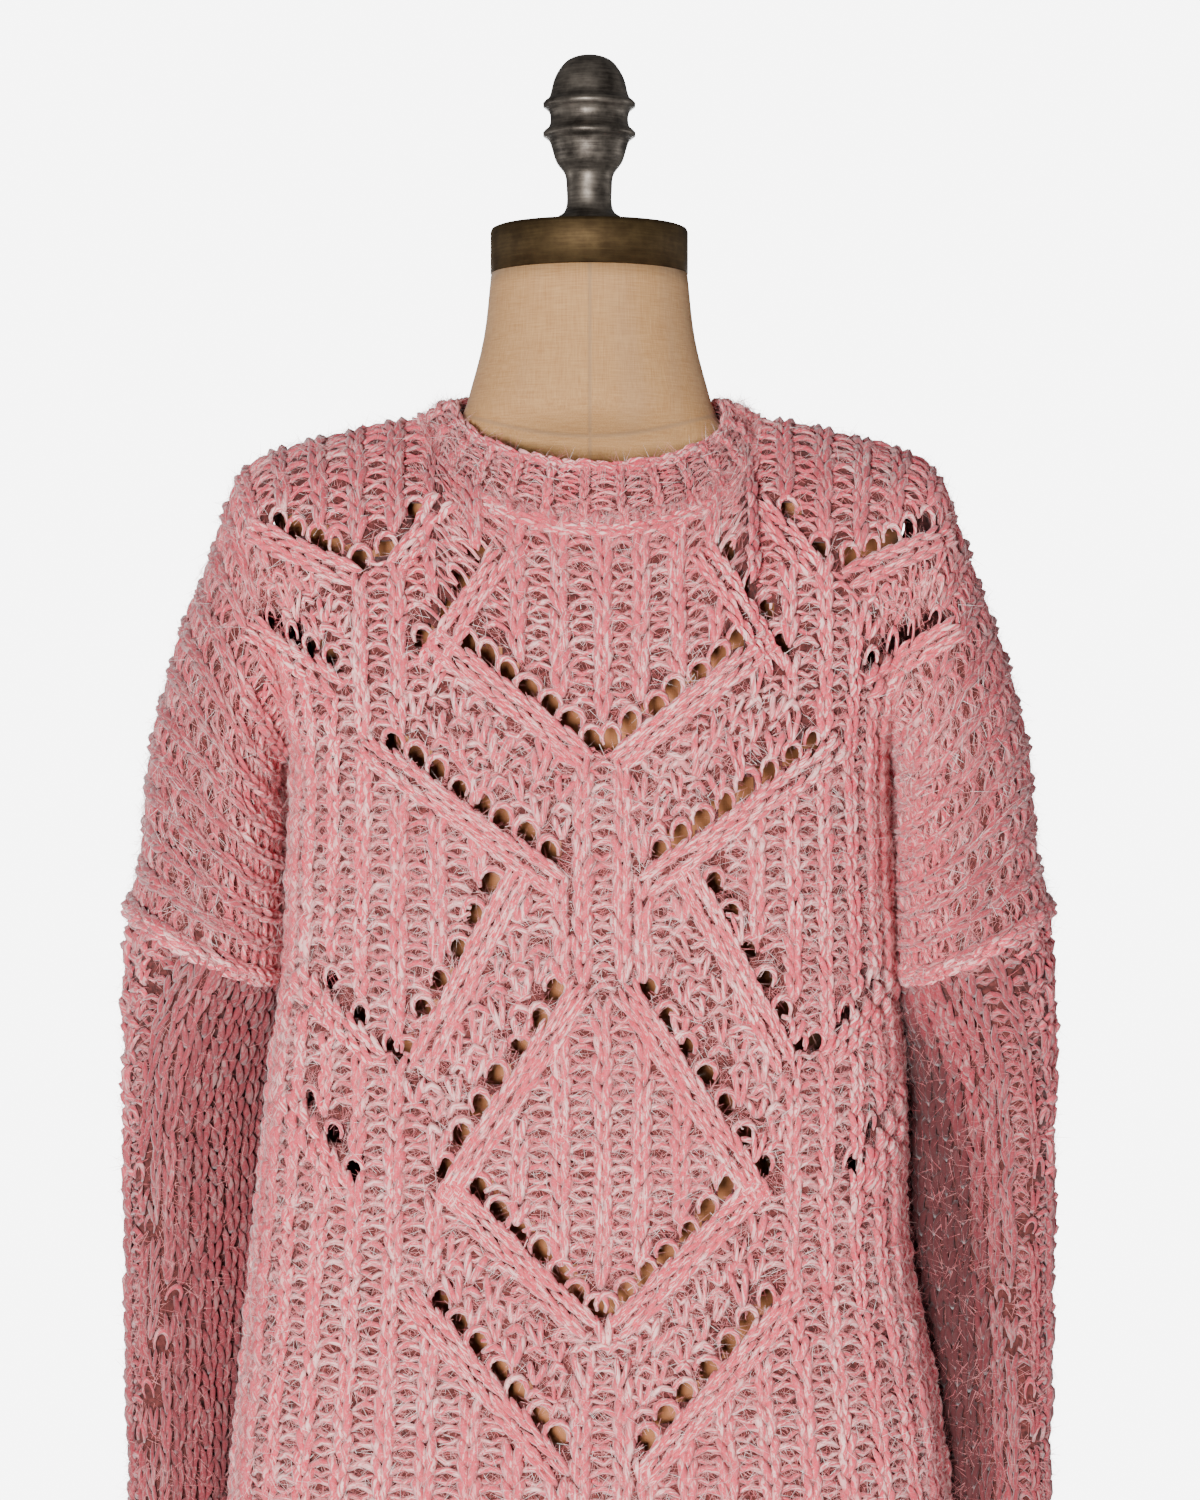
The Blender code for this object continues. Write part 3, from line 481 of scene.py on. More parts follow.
class Shape:
    """A small mesh, drawn once and then copied, with the run of the yarn at each point."""

    def __init__(self, bm, yarn):
        bm.verts.index_update()
        self.points = np.array([v.co for v in bm.verts])
        self.faces = np.array([[v.index for v in face.verts] for face in bm.faces])
        self.yarn = np.array(yarn)
        bm.free()


def yarn_length(path, radii, twist=TWIST):
    """One small length of yarn along a path."""
    bm = bmesh.new()
    path = [Vector(p) for p in path]
    rings, yarn, run = [], [], 0.0
    for k, (place, radius) in enumerate(zip(path, radii)):
        before, after = path[max(k - 1, 0)], path[min(k + 1, len(path) - 1)]
        run += (place - before).length
        facing = (after - before).to_track_quat("Z", "Y").to_matrix().to_4x4()
        made = bmesh.ops.create_circle(bm, segments=YARN_SIDES, radius=radius,
                                       matrix=Matrix.Translation(place) @ facing)
        rings.append(made["verts"])
        angles = 2 * math.pi * np.arange(YARN_SIDES) / YARN_SIDES + twist * run
        yarn += [(run, 0.002 * math.cos(a), 0.002 * math.sin(a)) for a in angles]
    loft(bm, rings)
    bmesh.ops.triangulate(bm, faces=bm.faces)
    return Shape(bm, yarn)


def leg(side, plain=False, fat=1.0):
    """One leg of a knit stitch, from the foot of the V to its shoulder; a plain one has fewer rings."""
    path = [(0.0005 * side, -0.0082, 0.0004), (0.0012 * side, -0.0048, 0.0021),
            (0.0024 * side, 0.0000, 0.0029), (0.0036 * side, 0.0042, 0.0026),
            (0.0041 * side, 0.0074, 0.0008)]
    radii = (0.0012, 0.0021, 0.0025, 0.0023, 0.0013)
    if plain:
        path, radii = [path[k] for k in (0, 1, 3, 4)], [radii[k] * 1.1 for k in (0, 1, 3, 4)]
    return yarn_length(path, [r * fat for r in radii], TWIST * side)


def loop(half_width, low, high, rise, fat):
    """A purl loop or bump: a short arch of yarn across a rib."""
    middle = (low + high) / 2 + 0.0006
    path = [(-half_width, low, 0.0), (-half_width * 0.5, middle, rise * 0.75), (0.0, high, rise),
            (half_width * 0.5, middle, rise * 0.75), (half_width, low, 0.0)]
    return yarn_length(path, [fat * share for share in (0.75, 0.95, 1.0, 0.95, 0.75)])


def arch():
    """The yarn round the top of an eyelet."""
    path = [(0.0060 * math.sin(a), 0.0070 * math.cos(a) + 0.0002, 0.0022 * math.cos(a * 0.75))
            for a in np.linspace(-2.1, 2.1, 8)]
    return yarn_length(path, (0.0010, 0.0015, 0.0018, 0.0020, 0.0020, 0.0018, 0.0015, 0.0010))


def fibre():
    """One mohair hair, as a thin flat triangle."""
    bm = bmesh.new()
    bmesh.ops.create_circle(bm, cap_ends=True, segments=3, radius=1.0,
                            matrix=Matrix.Diagonal((HAIR_WIDTH / 2, HAIR_LENGTH / 1.5, 1.0, 1.0)))
    return Shape(bm, np.zeros((3, 3)))


LEGS = (leg(-1), leg(1))
PLAIN_LEGS = (leg(-1, True), leg(1, True))
THIN_LEGS = (leg(-1, True, 0.75), leg(1, True, 0.75))
RUNG = loop(0.0076, -0.0018, 0.0020, 0.0018, 0.00185)
DIP = loop(0.0072, 0.0014, -0.0012, 0.0006, 0.0016)
BUMP = loop(0.0052, -0.0026, 0.0022, 0.0030, 0.0022)
ARCH = arch()
HAIR = fibre()


class Yarns:
    """Copies of the yarn shapes, joined into one mesh."""

    def __init__(self):
        self.points, self.faces, self.yarn, self.tone, self.count = [], [], [], [], 0

    def add(self, shape, origins, axes, tone):
        number, size = len(origins), len(shape.points)
        if not number:
            return
        points = np.einsum("vk,nkc->nvc", shape.points, axes) + origins[:, None]
        starts = self.count + np.arange(number) * size
        yarn = np.repeat(shape.yarn[None], number, axis=0)
        yarn[:, :, 0] += RANDOM.uniform(0, 50, number)[:, None]
        self.points.append(points.reshape(-1, 3))
        self.faces.append((shape.faces[None] + starts[:, None, None]).reshape(-1, 3))
        self.yarn.append(yarn.reshape(-1, 3))
        self.tone.append(np.repeat(np.broadcast_to(tone, number), size))
        self.count += number * size

    def mesh(self, name, finish):
        points, faces = np.concatenate(self.points), np.concatenate(self.faces)
        made = bpy.data.meshes.new(name)
        made.vertices.add(len(points))
        made.vertices.foreach_set("co", points.astype(np.float32).ravel())
        made.loops.add(faces.size)
        made.loops.foreach_set("vertex_index", faces.astype(np.int32).ravel())
        made.polygons.add(len(faces))
        made.polygons.foreach_set("loop_start", np.arange(0, faces.size, 3, dtype=np.int32))
        made.update(calc_edges=True)
        made.shade_smooth()
        yarn = made.attributes.new("yarn", "FLOAT_VECTOR", "POINT")
        yarn.data.foreach_set("vector", np.concatenate(self.yarn).astype(np.float32).ravel())
        tone = made.attributes.new("tone", "FLOAT", "POINT")
        tone.data.foreach_set("value", np.concatenate(self.tone).astype(np.float32))
        return linked(name, made, finish)


def linked(name, mesh, finish, slot="wool"):
    obj = bpy.data.objects.new(name, mesh)
    bpy.context.scene.collection.objects.link(obj)
    mesh.materials.clear()
    mesh.materials.append(finish)
    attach(obj, "root")
    return obj


def arm_depth(rib, heights, side):
    """How much painted shade darkens an arm's wool: most on the ribs beside the body."""
    edge = np.interp(heights, ARM_PAINTED_SHADE_EDGE[side]["z"], ARM_PAINTED_SHADE_EDGE[side]["rib"])
    inside = np.clip(rib - edge, 0, 1) * np.clip(BACK_RIB - rib, 0, 1)
    plain = INNER_ARM_PAINTED_SHADE if side < 0 and INNER_RIBS[0] <= rib <= INNER_RIBS[1] else SLEEVE_PAINTED_SHADE
    return plain + (1.0 - plain) * inside


def tones(number, middle, spread=0.16, depth=0.0):
    """Light yarn is near 1, pink yarn near 0, and wool darkened by painted shade is below 0."""
    return np.clip(RANDOM.normal(middle, spread, number), 0, 1) * (1 - depth) - depth


class Holes:
    """Eyelets already cut, as points that the stitches keep clear of."""

    def __init__(self):
        self.points = np.zeros((0, 3))

    def near(self, points, reach):
        if not len(self.points):
            return np.zeros(len(points), bool)
        return (np.linalg.norm(points[:, None] - self.points[None], axis=2) < reach).any(axis=1)


def line_ends(n, side):
    """Both ends of a line of eyelets, across and up."""
    return tuple(np.array([EYELETS["x" + end][n] * side, EYELETS["z" + end][n]]) for end in "01")


def chart(flat, back):
    """For places (across, up) on a panel: True on a ridge, True in a moss band, True in the centre stem."""
    ridge = np.zeros(len(flat), bool)
    moss = np.zeros(len(flat), bool)
    sided = np.stack([np.abs(flat[:, 0]), flat[:, 1]], axis=1)
    for n in range(len(EYELETS["count"])):
        if back and not EYELETS["back"][n]:
            continue
        start, end = line_ends(n, 1)
        run = end - start
        length = np.linalg.norm(run)
        run /= length
        off = np.array([-run[1], run[0]]) * EYELETS["ridge"][n]
        down, out = (sided - start) @ run, (sided - start) @ off
        ridge |= ((down > -EYELETS["before"][n]) & (down < length + EYELETS["after"][n])
                  & (out > RIDGE_BAND[0]) & (out < RIDGE_BAND[1]))
    for first, second in MOSS:
        if back and not (EYELETS["back"][first] and EYELETS["back"][second]):
            continue
        a, b = line_ends(first, 1)
        d, c = line_ends(second, 1)
        corners = (a, b, c, d)
        middle = sum(corners) / 4
        inside = np.ones(len(flat), bool)
        for p, q in zip(corners, corners[1:] + corners[:1]):
            edge = np.array([-(q - p)[1], (q - p)[0]])
            edge *= np.sign((middle - p) @ edge) / np.linalg.norm(edge)
            inside &= (sided - p) @ edge > -0.004
        moss |= inside
    up = flat[:, 1]
    stem = (sided[:, 0] < STEM_HALF_WIDTH) & ((up > STEM_HIGH[0]) & (up < STEM_HIGH[1]) | (up < STEM_LOW))
    return ridge, moss & ~ridge, stem & ~ridge


def flat_places(points, back):
    """Places across and up, from the panel's own middle."""
    return np.stack([points[:, 0] - (0.0 if back else PANEL_TURN), points[:, 2]], axis=1)


def nearest_on(patches, spots, fore):
    """(patch, rib, row) of the outward place that shows at each (x, z)."""
    found = []
    grids = []
    for patch in patches:
        ribs, rows = np.meshgrid(np.linspace(patch.ribs[0], patch.ribs[-1], 321), np.linspace(0, 1, 160))
        points, _, _, normal = patch.at(ribs.ravel(), rows.ravel())
        facing = normal[:, 1] * fore > 0.15
        grids.append((patch, ribs.ravel()[facing], rows.ravel()[facing], points[facing]))
    for x, z in spots:
        best = None
        for patch, ribs, rows, points in grids:
            far = np.hypot(points[:, 0] - x, points[:, 2] - z)
            k = int(far.argmin())
            if best is None or far[k] < best[0] - 1e-4:
                best = (far[k], patch, ribs[k], rows[k])
        found.append(best[1:])
    return found


def ridge_paths(back):
    """The two travelling wales beside each line of eyelets, as paths across and up."""
    paths = []
    for n in range(len(EYELETS["count"])):
        if back and not EYELETS["back"][n]:
            continue
        for side in (1, -1):
            start, end = line_ends(n, side)
            run = (end - start) / np.linalg.norm(end - start)
            off = np.array([-run[1], run[0]]) * EYELETS["ridge"][n] * side
            start = start - run * EYELETS["before"][n]
            end = end + run * EYELETS["after"][n]
            for distance in RIDGE_CHAINS:
                paths.append((start + off * distance, end + off * distance))
    return paths


def knit_ribs(patch, wales, rungs, holes, chart_of=None, closed=False, simple=False,
              row=STITCH, narrow=1.0, deep=PAINTED_SHADE_BY_PART["shoulders"]):
    """Raised wales on whole ribs, and purl rungs between them.

    Where the wales spread apart, as beside the neck, more rungs fill the quarters.
    """
    low, high = int(round(4 * patch.ribs[0])), int(round(4 * patch.ribs[-1]))
    for quarter in range(low, high + (0 if closed else 1)):
        rib = quarter / 4
        rows, pitch = patch.places(rib, row)
        ribs = np.full(len(rows), rib)
        points, across, _, _ = patch.at(ribs, rows)
        keep = ~holes.near(points, CLEAR["ribs"])
        moss = np.zeros(len(rows), bool)
        wale = np.full(len(rows), quarter % 4 == 0)
        if quarter % 2:
            keep &= np.linalg.norm(across, axis=1) > 1.35 * RIB
        if chart_of is not None:
            ridge, moss, stem = chart_of(points)
            keep &= ~ridge
            if abs(quarter) == 2:
                wale |= stem
            if quarter == 0:
                wale &= ~stem
        # Painted shade: the wool darkens towards the shoulder tops and out along the upper arms.
        depth = np.clip((points[:, 2] - SHOULDER_START) / SHOULDER_FADE, 0, 1) * deep
        outward = np.clip((np.abs(points[:, 0]) - ARM_START) / ARM_FADE, 0, 1)
        depth = np.maximum(depth, outward * PAINTED_SHADE_BY_PART["outer_arms"])
        kinds = (keep & wale & ~moss, keep & ~wale & ~moss)
        knit_column(patch, wales, rungs, (ribs, rows, pitch / STITCH), kinds, simple, narrow, depth)
        if quarter % 2 == 0 and moss.any():
            knit_moss(patch, rungs, ribs, rows, keep & moss, quarter // 2)


def knit_column(patch, wales, rungs, column, kinds, simple, narrow, depth):
    """One column of the rib: its knit stitches and its purl rungs."""
    ribs, rows, tall = column
    knit, purl = kinds
    origin, axes = patch.frames(ribs, rows, narrow, tall)
    for shape in PLAIN_LEGS if simple else LEGS:
        wales.add(shape, origin[knit], axes[knit], tones(knit.sum(), 0.24, depth=depth[knit]))
    origin, axes = patch.frames(ribs, rows, 1.0, tall)
    rungs.add(RUNG, origin[purl], axes[purl], tones(purl.sum(), 0.66, 0.22, depth[purl]))
    if not simple:
        origin, axes = patch.frames(ribs, np.clip(rows + 0.5 / len(rows), 0, 1), 1.0, tall)
        rungs.add(DIP, origin[purl], axes[purl], tones(purl.sum(), 0.38, 0.2, depth[purl]))


def knit_moss(patch, rungs, ribs, rows, mossy, column, depth=0.0):
    """Knit and purl by turns, as small bumps."""
    bump = mossy & ((np.arange(len(rows)) + column) % 2 == 0)
    small = mossy & ~bump
    origin, axes = patch.frames(ribs, rows, loose=2.2)
    rungs.add(BUMP, origin[bump], axes[bump], tones(bump.sum(), 0.62, 0.25, depth))
    for shape in THIN_LEGS:
        rungs.add(shape, origin[small], axes[small], tones(small.sum(), 0.40, 0.25, depth))
    origin, axes = patch.frames(ribs, np.clip(rows + 0.5 / len(rows), 0, 1), 0.9, loose=2.2)
    rungs.add(DIP, origin[mossy], axes[mossy], tones(mossy.sum(), 0.55, 0.3, depth))


def chain(patch, share, yarns, wide=0.75, lift=0.0008, ends=None):
    """A row of stitches laid along a seam, across the ribs."""
    first, last = ends or (patch.ribs[0], patch.ribs[-1])
    fine = np.linspace(first, last, 400)
    steps = lengths(patch.at(fine, np.full(400, share))[0])
    count = max(2, round(steps[-1] / CHAIN))
    ribs = np.interp((np.arange(count) + 0.5) / count * steps[-1], steps, fine)
    origin, axes = patch.frames(ribs, np.full(count, share), 1.0, CHAIN / STITCH * 1.1, math.pi / 2, lift)
    axes[:, 0] *= wide / np.linalg.norm(axes[:, 0], axis=1, keepdims=True)
    for shape in LEGS:
        yarns.add(shape, origin, axes, tones(count, 0.36))


def side_chains(patches, yarns):
    """The side seams up to the armpit, and on down the inside of each arm."""
    body, yoke = patches
    for side in (1, -1):
        rows, _ = body.places(BODY_RIBS * side, CHAIN)
        origin, axes = body.frames(np.full(len(rows), BODY_RIBS * side), rows, 1.0, 0.9, lift=0.0022)
        for shape in LEGS:
            yarns.add(shape, origin, axes, tones(len(rows), 0.36))
        chain(yoke, 0.0, yarns, wide=0.95, lift=0.0022, ends=(BODY_RIBS * side, FULL_RIBS * side))


def knit_ridges(patches, yarns, back):
    """Chains of knit stitches that travel beside the eyelets."""
    fore = 1 if back else -1
    shift = 0.0 if back else PANEL_TURN
    for start, end in ridge_paths(back):
        count = max(2, round(np.linalg.norm(end - start) / CHAIN))
        spots = [start + (end - start) * (k + 0.5) / count + [shift, 0] for k in range(count)]
        for patch, rib, row in nearest_on(patches, spots, fore):
            origin, across, up, normal = patch.at(np.array([rib]), np.array([row]))
            heading = np.array([end[0] - start[0], 0.0, end[1] - start[1]])
            if heading[2] > 0:
                heading = -heading
            heading = -heading / np.linalg.norm(heading)
            heading -= normal[0] * (heading @ normal[0])
            heading /= np.linalg.norm(heading)
            side = np.cross(heading, normal[0])
            axes = np.array([[side * 0.70, heading * 0.92, normal[0] * 1.25]])
            for shape in (PLAIN_LEGS if back else LEGS):
                yarns.add(shape, origin, axes, tones(1, 0.34))


def cut_eyelets(patches, back):
    """Where the eyelets of a panel lie."""
    spots = []
    shift = 0.0 if back else PANEL_TURN
    for n in range(len(EYELETS["count"])):
        if back and not EYELETS["back"][n]:
            continue
        for side in (1, -1):
            start, end = line_ends(n, side)
            for k in range(int(EYELETS["count"][n])):
                spots.append(start + (end - start) * k / (EYELETS["count"][n] - 1) + [shift, 0])
    return nearest_on(patches, spots, 1 if back else -1)


def arch_yarns(places, yarns, holes, depth=0.0):
    """A rim of yarn round each eyelet, which is then kept clear."""
    for patch, rib, row in places:
        origin, axes = patch.frames(np.array([rib]), np.array([row]), loose=1.3)
        yarns.add(ARCH, origin, axes, tones(1, 0.5, 0.2, depth))
        holes.points = np.concatenate([holes.points, origin])


def backing(name, patches, holes, finish, steps):
    """The thin cloth under the yarns, open at the eyelets."""
    bm = bmesh.new()
    for patch, (columns, rows) in zip(patches, steps):
        ribs = np.linspace(patch.ribs[0], patch.ribs[-1], columns + 1)
        shares = np.linspace(0, 1, rows + 1)
        grid = np.array([patch.at(ribs, np.full(len(ribs), share))[0] for share in shares])
        middle = (grid[:-1, :-1] + grid[1:, 1:]) / 2
        gone = holes.near(middle.reshape(-1, 3), CLEAR["cloth"]).reshape(middle.shape[:2])
        verts = [[bm.verts.new(p) for p in row] for row in grid]
        for r in range(rows):
            for c in range(columns):
                corners = (verts[r][c], verts[r][c + 1], verts[r + 1][c + 1], verts[r + 1][c])
                if not gone[r, c]:
                    bm.faces.new(corners if patch.outward > 0 else corners[::-1])
    bmesh.ops.delete(bm, geom=[v for v in bm.verts if not v.link_faces], context="VERTS")
    bmesh.ops.remove_doubles(bm, verts=bm.verts, dist=0.00005)
    cloth = linked(name + "_cloth", mesh_of(bm, name), finish)
    wall = cloth.modifiers.new("wall", "SOLIDIFY")
    wall.thickness = BACKING
    wall.offset = -1
    return cloth


def declare(cloth, nodes):
    """Hides the solids that the cloth stands for."""
    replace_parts(cloth, *nodes)


def make_panel(name, back, wool, painted_pit_shade_wool):
    """The front or the back: ribs, lozenges of eyelets, moss bands and travelling ridges."""
    patches = panel_patches(back)
    wales, rungs, holes = Yarns(), Yarns(), Holes()
    arch_yarns(cut_eyelets(patches, back), rungs, holes)
    for patch in patches:
        knit_ribs(patch, wales, rungs, holes, simple=back,
                  chart_of=lambda points: chart(flat_places(points, back), back))
    knit_ridges(patches, wales, back)
    side_chains(patches, wales)
    cloth = backing(name, patches, holes, painted_pit_shade_wool, CLOTH_STEPS[name])
    pieces = [wales.mesh(name + "_wales", wool), rungs.mesh(name + "_rungs", wool)]
    declare(cloth, (name,))
    return cloth, patches, holes


def make_sleeve(label, side, wool, painted_pit_shade_wool):
    """Close smooth knit inside the arm, ribs behind, moss and eyelets on the outer fold."""
    patch = sleeve_patch(side)
    wales, holes = Yarns(), Holes()
    low, height = SLEEVE["z"][-1], SLEEVE["z"][0] - SLEEVE["z"][-1]
    spots = []
    for first_rib, top, bottom, rib_step, count in zip(*SLEEVE_EYELETS.values()):
        for k in range(int(count)):
            row = (top + (bottom - top) * k / (count - 1) - low) / height
            for rib in (first_rib + rib_step * k, SLEEVE_RIBS - first_rib - rib_step * k):
                spots.append((patch, rib, row))
    # The sleeve's eyelet rims and moss take painted shade too.
    arch_yarns(spots, wales, holes, PAINTED_SHADE_BY_PART["sleeve_rims"])
    for half in range(2 * SLEEVE_RIBS):
        rib = half / 2
        rows, pitch = patch.places(rib, STITCH)
        ribs = np.full(len(rows), rib)
        heights = low + rows * height
        keep = ~holes.near(patch.at(ribs, rows)[0], CLEAR["sleeve"])
        is_smooth = SMOOTH_RIBS[side][0] <= rib <= SMOOTH_RIBS[side][1]
        moss = (MOSS_RIBS[0] <= rib <= MOSS_RIBS[1]) & (heights > MOSS_LOW)
        moss |= (rib == LAST_MOSS_RIB) & (heights > LAST_MOSS_LOW)
        knit = keep & ~moss & (is_smooth or half % 2 == 0)
        # Every column of the sleeve takes the arm's painted shade.
        knit_column(patch, wales, wales, (ribs, rows, pitch / STITCH), (knit, keep & ~moss & ~knit),
                    rib > SMOOTH_RIBS[side][1], 0.92 if is_smooth else 1.0, arm_depth(rib, heights, side))
        knit_moss(patch, wales, ribs, rows, keep & moss, half, PAINTED_SHADE_BY_PART["sleeve_moss"])
    chain(patch, 0.985, wales, wide=0.9, lift=0.0012)
    cloth = backing("sleeve_" + label, [patch], Holes(), painted_pit_shade_wool, ((48, 40),))
    yarns = wales.mesh(f"sleeve_{label}_yarns", wool)
    nodes = (f"sleeve_{label}_front", f"sleeve_{label}_back")
    declare(cloth, nodes)
    return patch, holes


def make_band(name, patch, nodes, wool, painted_pit_shade_wool, steps, closed, fine=False):
    """A ribbed edge: a hem, a cuff or the neckband."""
    yarns = Yarns()
    if fine:
        knit_ribs(patch, yarns, yarns, Holes(), closed=closed, row=FINE_STITCH, narrow=0.62,
                  deep=PAINTED_SHADE_BY_PART["neckband"])
        chain(patch, 0.02, yarns)
        chain(patch, 0.99, yarns, wide=0.55, lift=0.0002)
    else:
        knit_ribs(patch, yarns, yarns, Holes(), closed=closed, simple=True)
    cloth = backing(name, [patch], Holes(), painted_pit_shade_wool, (steps,))
    piece = yarns.mesh(name + "_yarns", wool)
    declare(cloth, nodes)


def mohair(name, patches, holes, number, finish, light):
    """Loose hairs that stand off the yarn; light caps how pale they get, and a lower cap is painted shade.
    """
    hairs = Yarns()
    shares = np.array([np.linalg.norm(np.cross(p.across, p.up), axis=2).mean() * (p.ribs[-1] - p.ribs[0])
                       for p in patches])
    for patch, count in zip(patches, (number * shares / shares.sum()).astype(int)):
        ribs = RANDOM.uniform(patch.ribs[0], patch.ribs[-1], count)
        origin, across, up, normal = patch.at(ribs, RANDOM.uniform(0, 1, count))
        across /= np.linalg.norm(across, axis=1, keepdims=True)
        angle = RANDOM.uniform(0, 2 * math.pi, count)[:, None]
        lean = np.abs(RANDOM.normal(HAIR_LEAN, HAIR_LEAN, count))[:, None]
        heading = (across * np.cos(angle) + up * np.sin(angle)) * np.cos(lean) + normal * np.sin(lean)
        heading /= np.linalg.norm(heading, axis=1, keepdims=True)
        first = np.cross(heading, normal)
        first /= np.maximum(np.linalg.norm(first, axis=1, keepdims=True), 1e-9)
        second = np.cross(heading, first)
        roll = RANDOM.normal(0, HAIR_ROLL, count)[:, None]
        flat_side = first * np.cos(roll) + second * np.sin(roll)
        edge_side = second * np.cos(roll) - first * np.sin(roll)
        size = RANDOM.uniform(*HAIR_SIZES, count)[:, None]
        origin = origin + normal * RANDOM.uniform(*HAIR_LIFTS, count)[:, None] + heading * HAIR_REACH * size
        axes = np.stack([flat_side, heading * size, edge_side], axis=1)
        clear = ~holes.near(origin, CLEAR["hairs"])
        hairs.add(HAIR, origin[clear], axes[clear], RANDOM.uniform(0, light, clear.sum()))
    return hairs.mesh(name, finish)


def turned(name, profile, finish, node, slot):
    """A lathe-turned piece, from a profile of radius and height."""
    bm = bmesh.new()
    verts = [bm.verts.new((max(0.0, radius), 0.0, z)) for radius, z in profile]
    edges = [bm.edges.new(pair) for pair in zip(verts, verts[1:])]
    bmesh.ops.spin(bm, geom=verts + edges, axis=(0, 0, 1), cent=(0, 0, 0), steps=72,
                   angle=2 * math.pi, use_merge=True)
    bmesh.ops.remove_doubles(bm, verts=bm.verts, dist=0.00001)
    bmesh.ops.recalc_face_normals(bm, faces=bm.faces)
    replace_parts(linked(name, mesh_of(bm, name), finish, slot), node)


def make_form(linen):
    """The linen bust: rings of the section table, closed at the foot and under the neck cap."""
    bm = bmesh.new()
    rings = []
    low, high = FORM["z"][[0, -1]]
    for z in np.r_[low, FORM_FOOT, np.linspace(FORM_SIDE, high, 90)]:
        half_width, half_depth = (smooth(z, FORM["z"], FORM[name]) for name in ("half_width", "half_depth"))
        place = Matrix.Translation((0, 0, z)) @ Matrix.Diagonal((half_width, half_depth, 1, 1))
        rings.append(bmesh.ops.create_circle(bm, segments=72, radius=1.0, matrix=place)["verts"])
    loft(bm, rings)
    form = linked("linen_form", mesh_of(bm, "linen_form"), linen, "linen")
    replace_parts(form, "dress_form")
    return form


class Finish:
    """A material and the few nodes its look is made from."""

    def __init__(self, name, roughness, metallic=0.0, sheen=0.0):
        self.made = bpy.data.materials.new(name)
        self.made.use_nodes = True
        self.tree = self.made.node_tree
        self.skin = self.tree.nodes["Principled BSDF"]
        self.skin.inputs["Roughness"].default_value = roughness
        self.skin.inputs["Metallic"].default_value = metallic
        self.skin.inputs["Sheen Weight"].default_value = sheen
        self.skin.inputs["Sheen Roughness"].default_value = 0.5
        self.place = self.node("ShaderNodeTexCoord").outputs["Object"]

    def node(self, kind, **settings):
        made = self.tree.nodes.new(kind)
        for name, value in settings.items():
            setattr(made, name, value)
        return made

    def join(self, source, target):
        if isinstance(source, bpy.types.NodeSocket):
            self.tree.links.new(source, target)
        else:
            target.default_value = source

    def attribute(self, name, output):
        return self.node("ShaderNodeAttribute", attribute_name=name).outputs[output]

    def stretched(self, vector, scale):
        mapping = self.node("ShaderNodeMapping")
        self.join(vector, mapping.inputs["Vector"])
        mapping.inputs["Scale"].default_value = scale
        return mapping.outputs["Vector"]

    def noise(self, vector, scale, detail=2.0, rough=0.5):
        made = self.node("ShaderNodeTexNoise")
        self.join(vector, made.inputs["Vector"])
        made.inputs["Scale"].default_value = scale
        made.inputs["Detail"].default_value = detail
        made.inputs["Roughness"].default_value = rough
        return made.outputs["Fac"]

    def math(self, operation, first, second=0.0, clamp=False):
        made = self.node("ShaderNodeMath", operation=operation, use_clamp=clamp)
        self.join(first, made.inputs[0])
        self.join(second, made.inputs[1])
        return made.outputs[0]

    def between(self, value, low, high, to_low=0.0, to_high=1.0):
        made = self.node("ShaderNodeMapRange")
        self.join(value, made.inputs["Value"])
        for name, number in (("From Min", low), ("From Max", high), ("To Min", to_low), ("To Max", to_high)):
            made.inputs[name].default_value = number
        return made.outputs["Result"]

    def mixed(self, share, first, second):
        made = self.node("ShaderNodeMix", data_type="RGBA")
        self.join(share, made.inputs["Factor"])
        for colour, place in ((first, "A"), (second, "B")):
            plain = isinstance(colour, tuple)
            self.join((*colour, 1) if plain else colour, made.inputs[place])
        return made.outputs["Result"]

    def shade(self, colour, height=None, strength=0.4, distance=0.0005):
        self.join(colour, self.skin.inputs["Base Color"])
        if height is not None:
            bump = self.node("ShaderNodeBump")
            bump.inputs["Strength"].default_value = strength
            bump.inputs["Distance"].default_value = distance
            self.join(height, bump.inputs["Height"])
            self.join(bump.outputs["Normal"], self.skin.inputs["Normal"])
        return self.made


def wool_finish():
    """Two-ply yarn: pink and near-white strands that wind along it, with painted shade where the tone is
    below 0.
    """
    pink, pale = (0.68, 0.036, 0.074), (0.98, 0.56, 0.53)
    # deep is the near-black colour of the painted shade.
    bloom, deep = (0.92, 0.62, 0.59), (0.062, 0.007, 0.008)
    f = Finish("pink_marl_wool", 0.85, sheen=0.3)
    yarn = f.attribute("yarn", "Vector")
    tone = f.attribute("tone", "Fac")
    marl = f.noise(f.stretched(yarn, (48, 700, 700)), 1.0, 2.0)
    patches = f.noise(f.place, 38, 2.0)
    strands = f.between(marl, 0.48, 0.59, -0.30, 0.95)
    amount = f.math("ADD", strands, f.between(tone, 0.0, 1.0, -0.30, 0.40))
    amount = f.math("ADD", amount, f.between(patches, 0.3, 0.7, -0.34, 0.30), clamp=True)
    colour = f.mixed(amount, pink, pale)
    fine = f.noise(f.place, 900, 2.0)
    colour = f.mixed(f.between(fine, 0.35, 0.75, 0.0, 0.24), colour, bloom)
    # Painted shade: a tone below 0 mixes the wool towards the deep colour.
    colour = f.mixed(f.between(tone, -1.0, 0.0, 0.97, 0.0), colour, deep)
    return f.shade(colour, f.math("ADD", fine, marl), 0.45, 0.0006)


